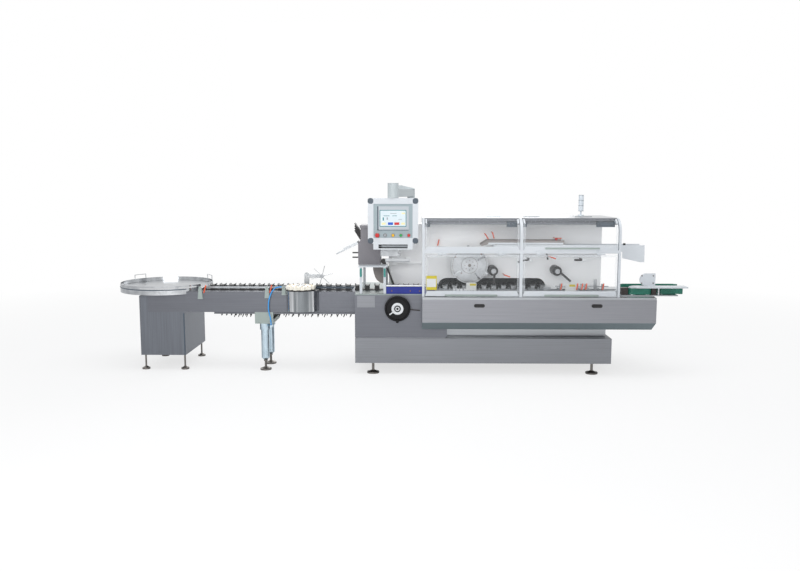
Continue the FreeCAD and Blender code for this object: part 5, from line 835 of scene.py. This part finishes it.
def make_carton_trim():
    """Bolts, rings, pads and suction arms of the picker, parts of the magazine and track, and door trim."""
    centre = at_picker(0, 0, 0)
    bolt_turns = np.arange(PICKER_BOLTS) * np.pi / 4
    piece("picker_bolts", turned, "picker", "polished_steel",
          *[disc(at_picker(BOLT_CIRCLE * math.cos(a), -189.8, BOLT_CIRCLE * math.sin(a)),
                 0.0055, 0.002, steps=16) for a in bolt_turns],
          disc(at_picker(0, -189.8, 0), 0.016, 0.004))
    piece("picker_rings", turned, "picker", "grey_cast",
          *[hoop(at_picker(0, -178.2, 0), radius, outline(0.004, 0.002, 0.0008, 12))
            for radius in PICKER_RING_RADII])
    piece("picker_pads", brown_pad, "picker", "dark_enamel",
          *[disc(at_picker(x, -177.8, z), 0.008, 0.005, steps=20) for x, z in PAD_PLACES])
    arm = tube([at_picker(x, -184, 0) for x in (100, 150, 154, 186)], mm(5, 5, 10, 10))
    stem = tube([at_picker(x, -196, 0) for x in (100, 180)], 0.0045)
    turns = np.radians(SUCTION_TURNS)
    piece("picker_suction_arms", black_nylon, "picker", "black_plastic", *[spun(arm, centre, a) for a in turns])
    piece("picker_suction_stems", polished, "picker", "polished_steel", *[spun(stem, centre, a) for a in turns])
    guide_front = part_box("magazine_guides")[0][1]
    piece("magazine_guide_strip", extrusion, "machine", "white_frame",
          slab((1.335, guide_front + 0.0001, 1.322), 0.770, 0.019, 0.0015))
    piece("carton_wheels", white_moulding_and_highlight, "machine", "white_plate",
          *[disc(mm(x, -212, 1152), 0.017, 0.010) for x in CARTON_WHEELS])
    piece("carton_wheel_arms", black_nylon, "machine", "black_plastic",
          *[tube((mm(x, -213, 1152), mm(x, -9, 1152)), 0.007) for x in CARTON_WHEELS],
          tube((mm(1364, -200, 1152), mm(1318, -195, 1146), mm(1258, -190, 1128)), mm(7, 9, 11)),
          tube((mm(1388, -200, 1152), mm(1364, -200, 1152)), 0.006),
          tube((mm(1933, -200, 1152), mm(1840, -200, 1152)), mm(8, 11)))
    piece("magazine_knobs", black_nylon, "machine", "black_plastic",
          disc(mm(2345, -200, 1306.8), 0.013, 0.020, "top"),
          tube((mm(1547, -205, 1240), mm(1556, -216, 1200), mm(1562, -222, 1158)), mm(6, 6, 9)))
    piece("magazine_red_knob", button_red, "machine", "button_mix", ball(mm(1650, -190, 1366), 0.014))
    piece("magazine_knob_stem", polished, "machine", "polished_steel",
          tube((mm(1650, -190, 1306), mm(1650, -190, 1358)), 0.004))
    piece("track_rollers", white_moulding_and_highlight, "machine", "white_plate",
          *[disc(mm(x, -289.9, 851), 0.015, 0.012) for x in (600, 637, 674, 711)])
    piece("track_bare_plates", plate_white, "machine", "white_plate",
          slab(mm(776, -289.9, 884), 0.104, 0.084, 0.002), slab(mm(1792, -291.5, 878), 0.116, 0.072, 0.002))
    piece("track_plate_fields", plate_yellow, "machine", "orange_plastic",
          slab(mm(792, -291.8, 906), 0.064, 0.022, 0.0008),
          slab(mm(1806, -293.4, 898), 0.060, 0.022, 0.0008))
    door_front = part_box("lower_pane_left")[0][1]
    piece("door_plate_border", plate_yellow, "left_door", "orange_plastic",
          slab((0.362, door_front + 0.0001, 0.947), 0.108, 0.143, 0.0015))
    piece("door_plate_field", plate_white, "left_door", "white_plate",
          slab((0.362, door_front - 0.0013, 0.947), 0.094, 0.083, 0.001))
    for name, body, node, middle, wide, z in (
        ("left_door_grip", "left_door", "lower_door_left", 0.758, 0.525, 0.824),
        ("right_door_grip", "right_door", "lower_door_right", 1.757, 0.540, 0.824),
        ("upper_door_grip", "machine", "upper_doors", 1.757, 0.540, 1.294),
    ):
        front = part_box(node)[0][1]
        piece(name, casting_green, body, "brown_grey",
              slab((middle, front + 0.0002, z), wide, 0.018, 0.0015, 0.006))


make_carton_trim()


# Outfeed and light tower, with places in millimetres

TOWER = (1917, -80)
TOWER_RINGS = (1653, 1708, 1762)


def make_end_trim():
    """Bolts of the pulley plate, and the rings and cap of the light tower."""
    piece("pulley_plate_bolts", turned, "machine", "polished_steel",
          *[disc(mm(x, -289.9, z), 0.007, 0.004, steps=16) for x in (2512, 2628) for z in (924, 1000)])
    piece("light_tower_rings", button_grey, "machine", "aluminium",
          *[hoop(mm(*TOWER, z), 0.0262, outline(0.003, 0.005, 0.001, 12), "top") for z in TOWER_RINGS],
          disc(mm(*TOWER, 1812), 0.0268, 0.006, "top"))


make_end_trim()


# Air hose

HOSE_DIAMETER = 0.012
HOSE_ROUTE = (
    (-1.170, -0.301, 0.880),
    (-1.228, -0.301, 0.880),
    (-1.272, -0.305, 0.836),
    (-1.300, -0.312, 0.768),
    (-1.312, -0.314, 0.690),
    (-1.308, -0.312, 0.612),
    (-1.289, -0.301, 0.545),
    (-1.289, -0.301, 0.482),
)


def make_hose():
    """Hose on one smooth spline whose control points are the corners of the route."""
    data = bpy.data.curves.new("air_hose_line", "CURVE")
    data.dimensions = "3D"
    data.bevel_depth = HOSE_DIAMETER / 2
    data.bevel_resolution = 5
    data.resolution_u = 16
    data.use_fill_caps = True
    line = data.splines.new("NURBS")
    line.points.add(len(HOSE_ROUTE) - 1)
    line.points.foreach_set("co", np.c_[HOSE_ROUTE, np.ones(len(HOSE_ROUTE))].ravel())
    line.order_u = 3
    line.use_endpoint_u = True
    data.materials.append(hose_blue)
    hose = bpy.data.objects.new("blue_air_hose", data)
    bpy.context.scene.collection.objects.link(hose)
    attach(hose, "machine")
    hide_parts("air_hose")


make_hose()


# Stage and light

FLOOR_HALF = 30.0
# The floor fades to white from the first distance to the second, from the first share to the second.
FADE_DISTANCE = (3.5, 9.0)
FADE_SHARE = (0.7, 1.0)
DIM_SURROUNDINGS = 0.62


def make_stage():
    """Pale floor that shows near white to the camera and keeps the soft shadow."""
    data = bpy.data.meshes.new("floor")
    corners = [(x * FLOOR_HALF, y * FLOOR_HALF, 0) for x, y in ((-1, -1), (1, -1), (1, 1), (-1, 1))]
    data.from_pydata(corners, [], [(0, 1, 2, 3)])
    floor = bpy.data.objects.new("floor", data)
    bpy.context.scene.collection.objects.link(floor)
    material, tree, shader = surface("pale floor", "#F2F2F2", 0.9)
    path = add(tree, "ShaderNodeLightPath")
    place = add(tree, "ShaderNodeTexCoord").outputs["Object"]
    away = add(tree, "ShaderNodeVectorMath", {0: place}, operation="LENGTH").outputs["Value"]
    fade = add(tree, "ShaderNodeMapRange", {"Value": away}, From_Min=FADE_DISTANCE[0],
               From_Max=FADE_DISTANCE[1], To_Min=FADE_SHARE[0], To_Max=FADE_SHARE[1])
    seen = add(tree, "ShaderNodeMath", {0: path.outputs["Is Camera Ray"], 1: fade.outputs["Result"]},
               operation="MULTIPLY")
    glow = add(tree, "ShaderNodeEmission", Color=(1.0, 1.0, 1.0, 1.0), Strength=1.0)
    mix = add(tree, "ShaderNodeMixShader", {0: seen.outputs[0], 1: shader.outputs[0], 2: glow.outputs[0]})
    tree.links.new(mix.outputs[0], tree.nodes["Material Output"].inputs["Surface"])
    data.materials.append(material)


def make_world():
    """Even pale surroundings, white where the camera, metal or glass looks at them."""
    world = bpy.data.worlds.new("surroundings")
    world.use_nodes = True
    tree = world.node_tree
    path = add(tree, "ShaderNodeLightPath")
    looked = add(tree, "ShaderNodeMath", {0: path.outputs["Is Camera Ray"], 1: path.outputs["Is Glossy Ray"]},
                 operation="MAXIMUM")
    through = add(tree, "ShaderNodeMath", {0: looked.outputs[0], 1: path.outputs["Is Transmission Ray"]},
                  operation="MAXIMUM")
    dim = add(tree, "ShaderNodeBackground", Color=(0.95, 0.97, 1.0, 1.0), Strength=DIM_SURROUNDINGS)
    white = add(tree, "ShaderNodeBackground", Color=(1.0, 1.0, 1.0, 1.0), Strength=1.0)
    mix = add(tree, "ShaderNodeMixShader", {0: through.outputs[0], 1: dim.outputs[0], 2: white.outputs[0]})
    tree.links.new(mix.outputs[0], tree.nodes["World Output"].inputs["Surface"])
    bpy.context.scene.world = world


def soft_lamp(name, place, target, size, watts, seen=True):
    """Rectangular lamp aimed at target. One that is not seen stays out of view and reflections."""
    data = bpy.data.lights.new(name, "AREA")
    data.shape = "RECTANGLE"
    data.size, data.size_y = size
    data.energy = watts
    lamp = bpy.data.objects.new(name, data)
    lamp.location = place
    lamp.rotation_euler = (Vector(target) - Vector(place)).to_track_quat("-Z", "Y").to_euler()
    lamp.visible_camera = seen
    lamp.visible_glossy = seen
    bpy.context.scene.collection.objects.link(lamp)


make_stage()
make_world()
soft_lamp("front softbox", (-1.0, -7.5, 3.2), (0.2, 0.0, 1.1), (6.0, 3.0), 228)
soft_lamp("top softbox", (0.5, -1.0, 5.5), (0.2, 0.0, 0.8), (6.0, 3.0), 115)
soft_lamp("rear softbox", (0.0, 6.0, 3.5), (0.0, 0.0, 0.9), (6.0, 2.5), 90)
soft_lamp("lamp under the hood", (1.3, -0.45, 1.22), (1.3, 0.0, 1.20), (1.9, 0.45), 1.3, seen=False)

bpy.context.scene.view_settings.view_transform = "Standard"
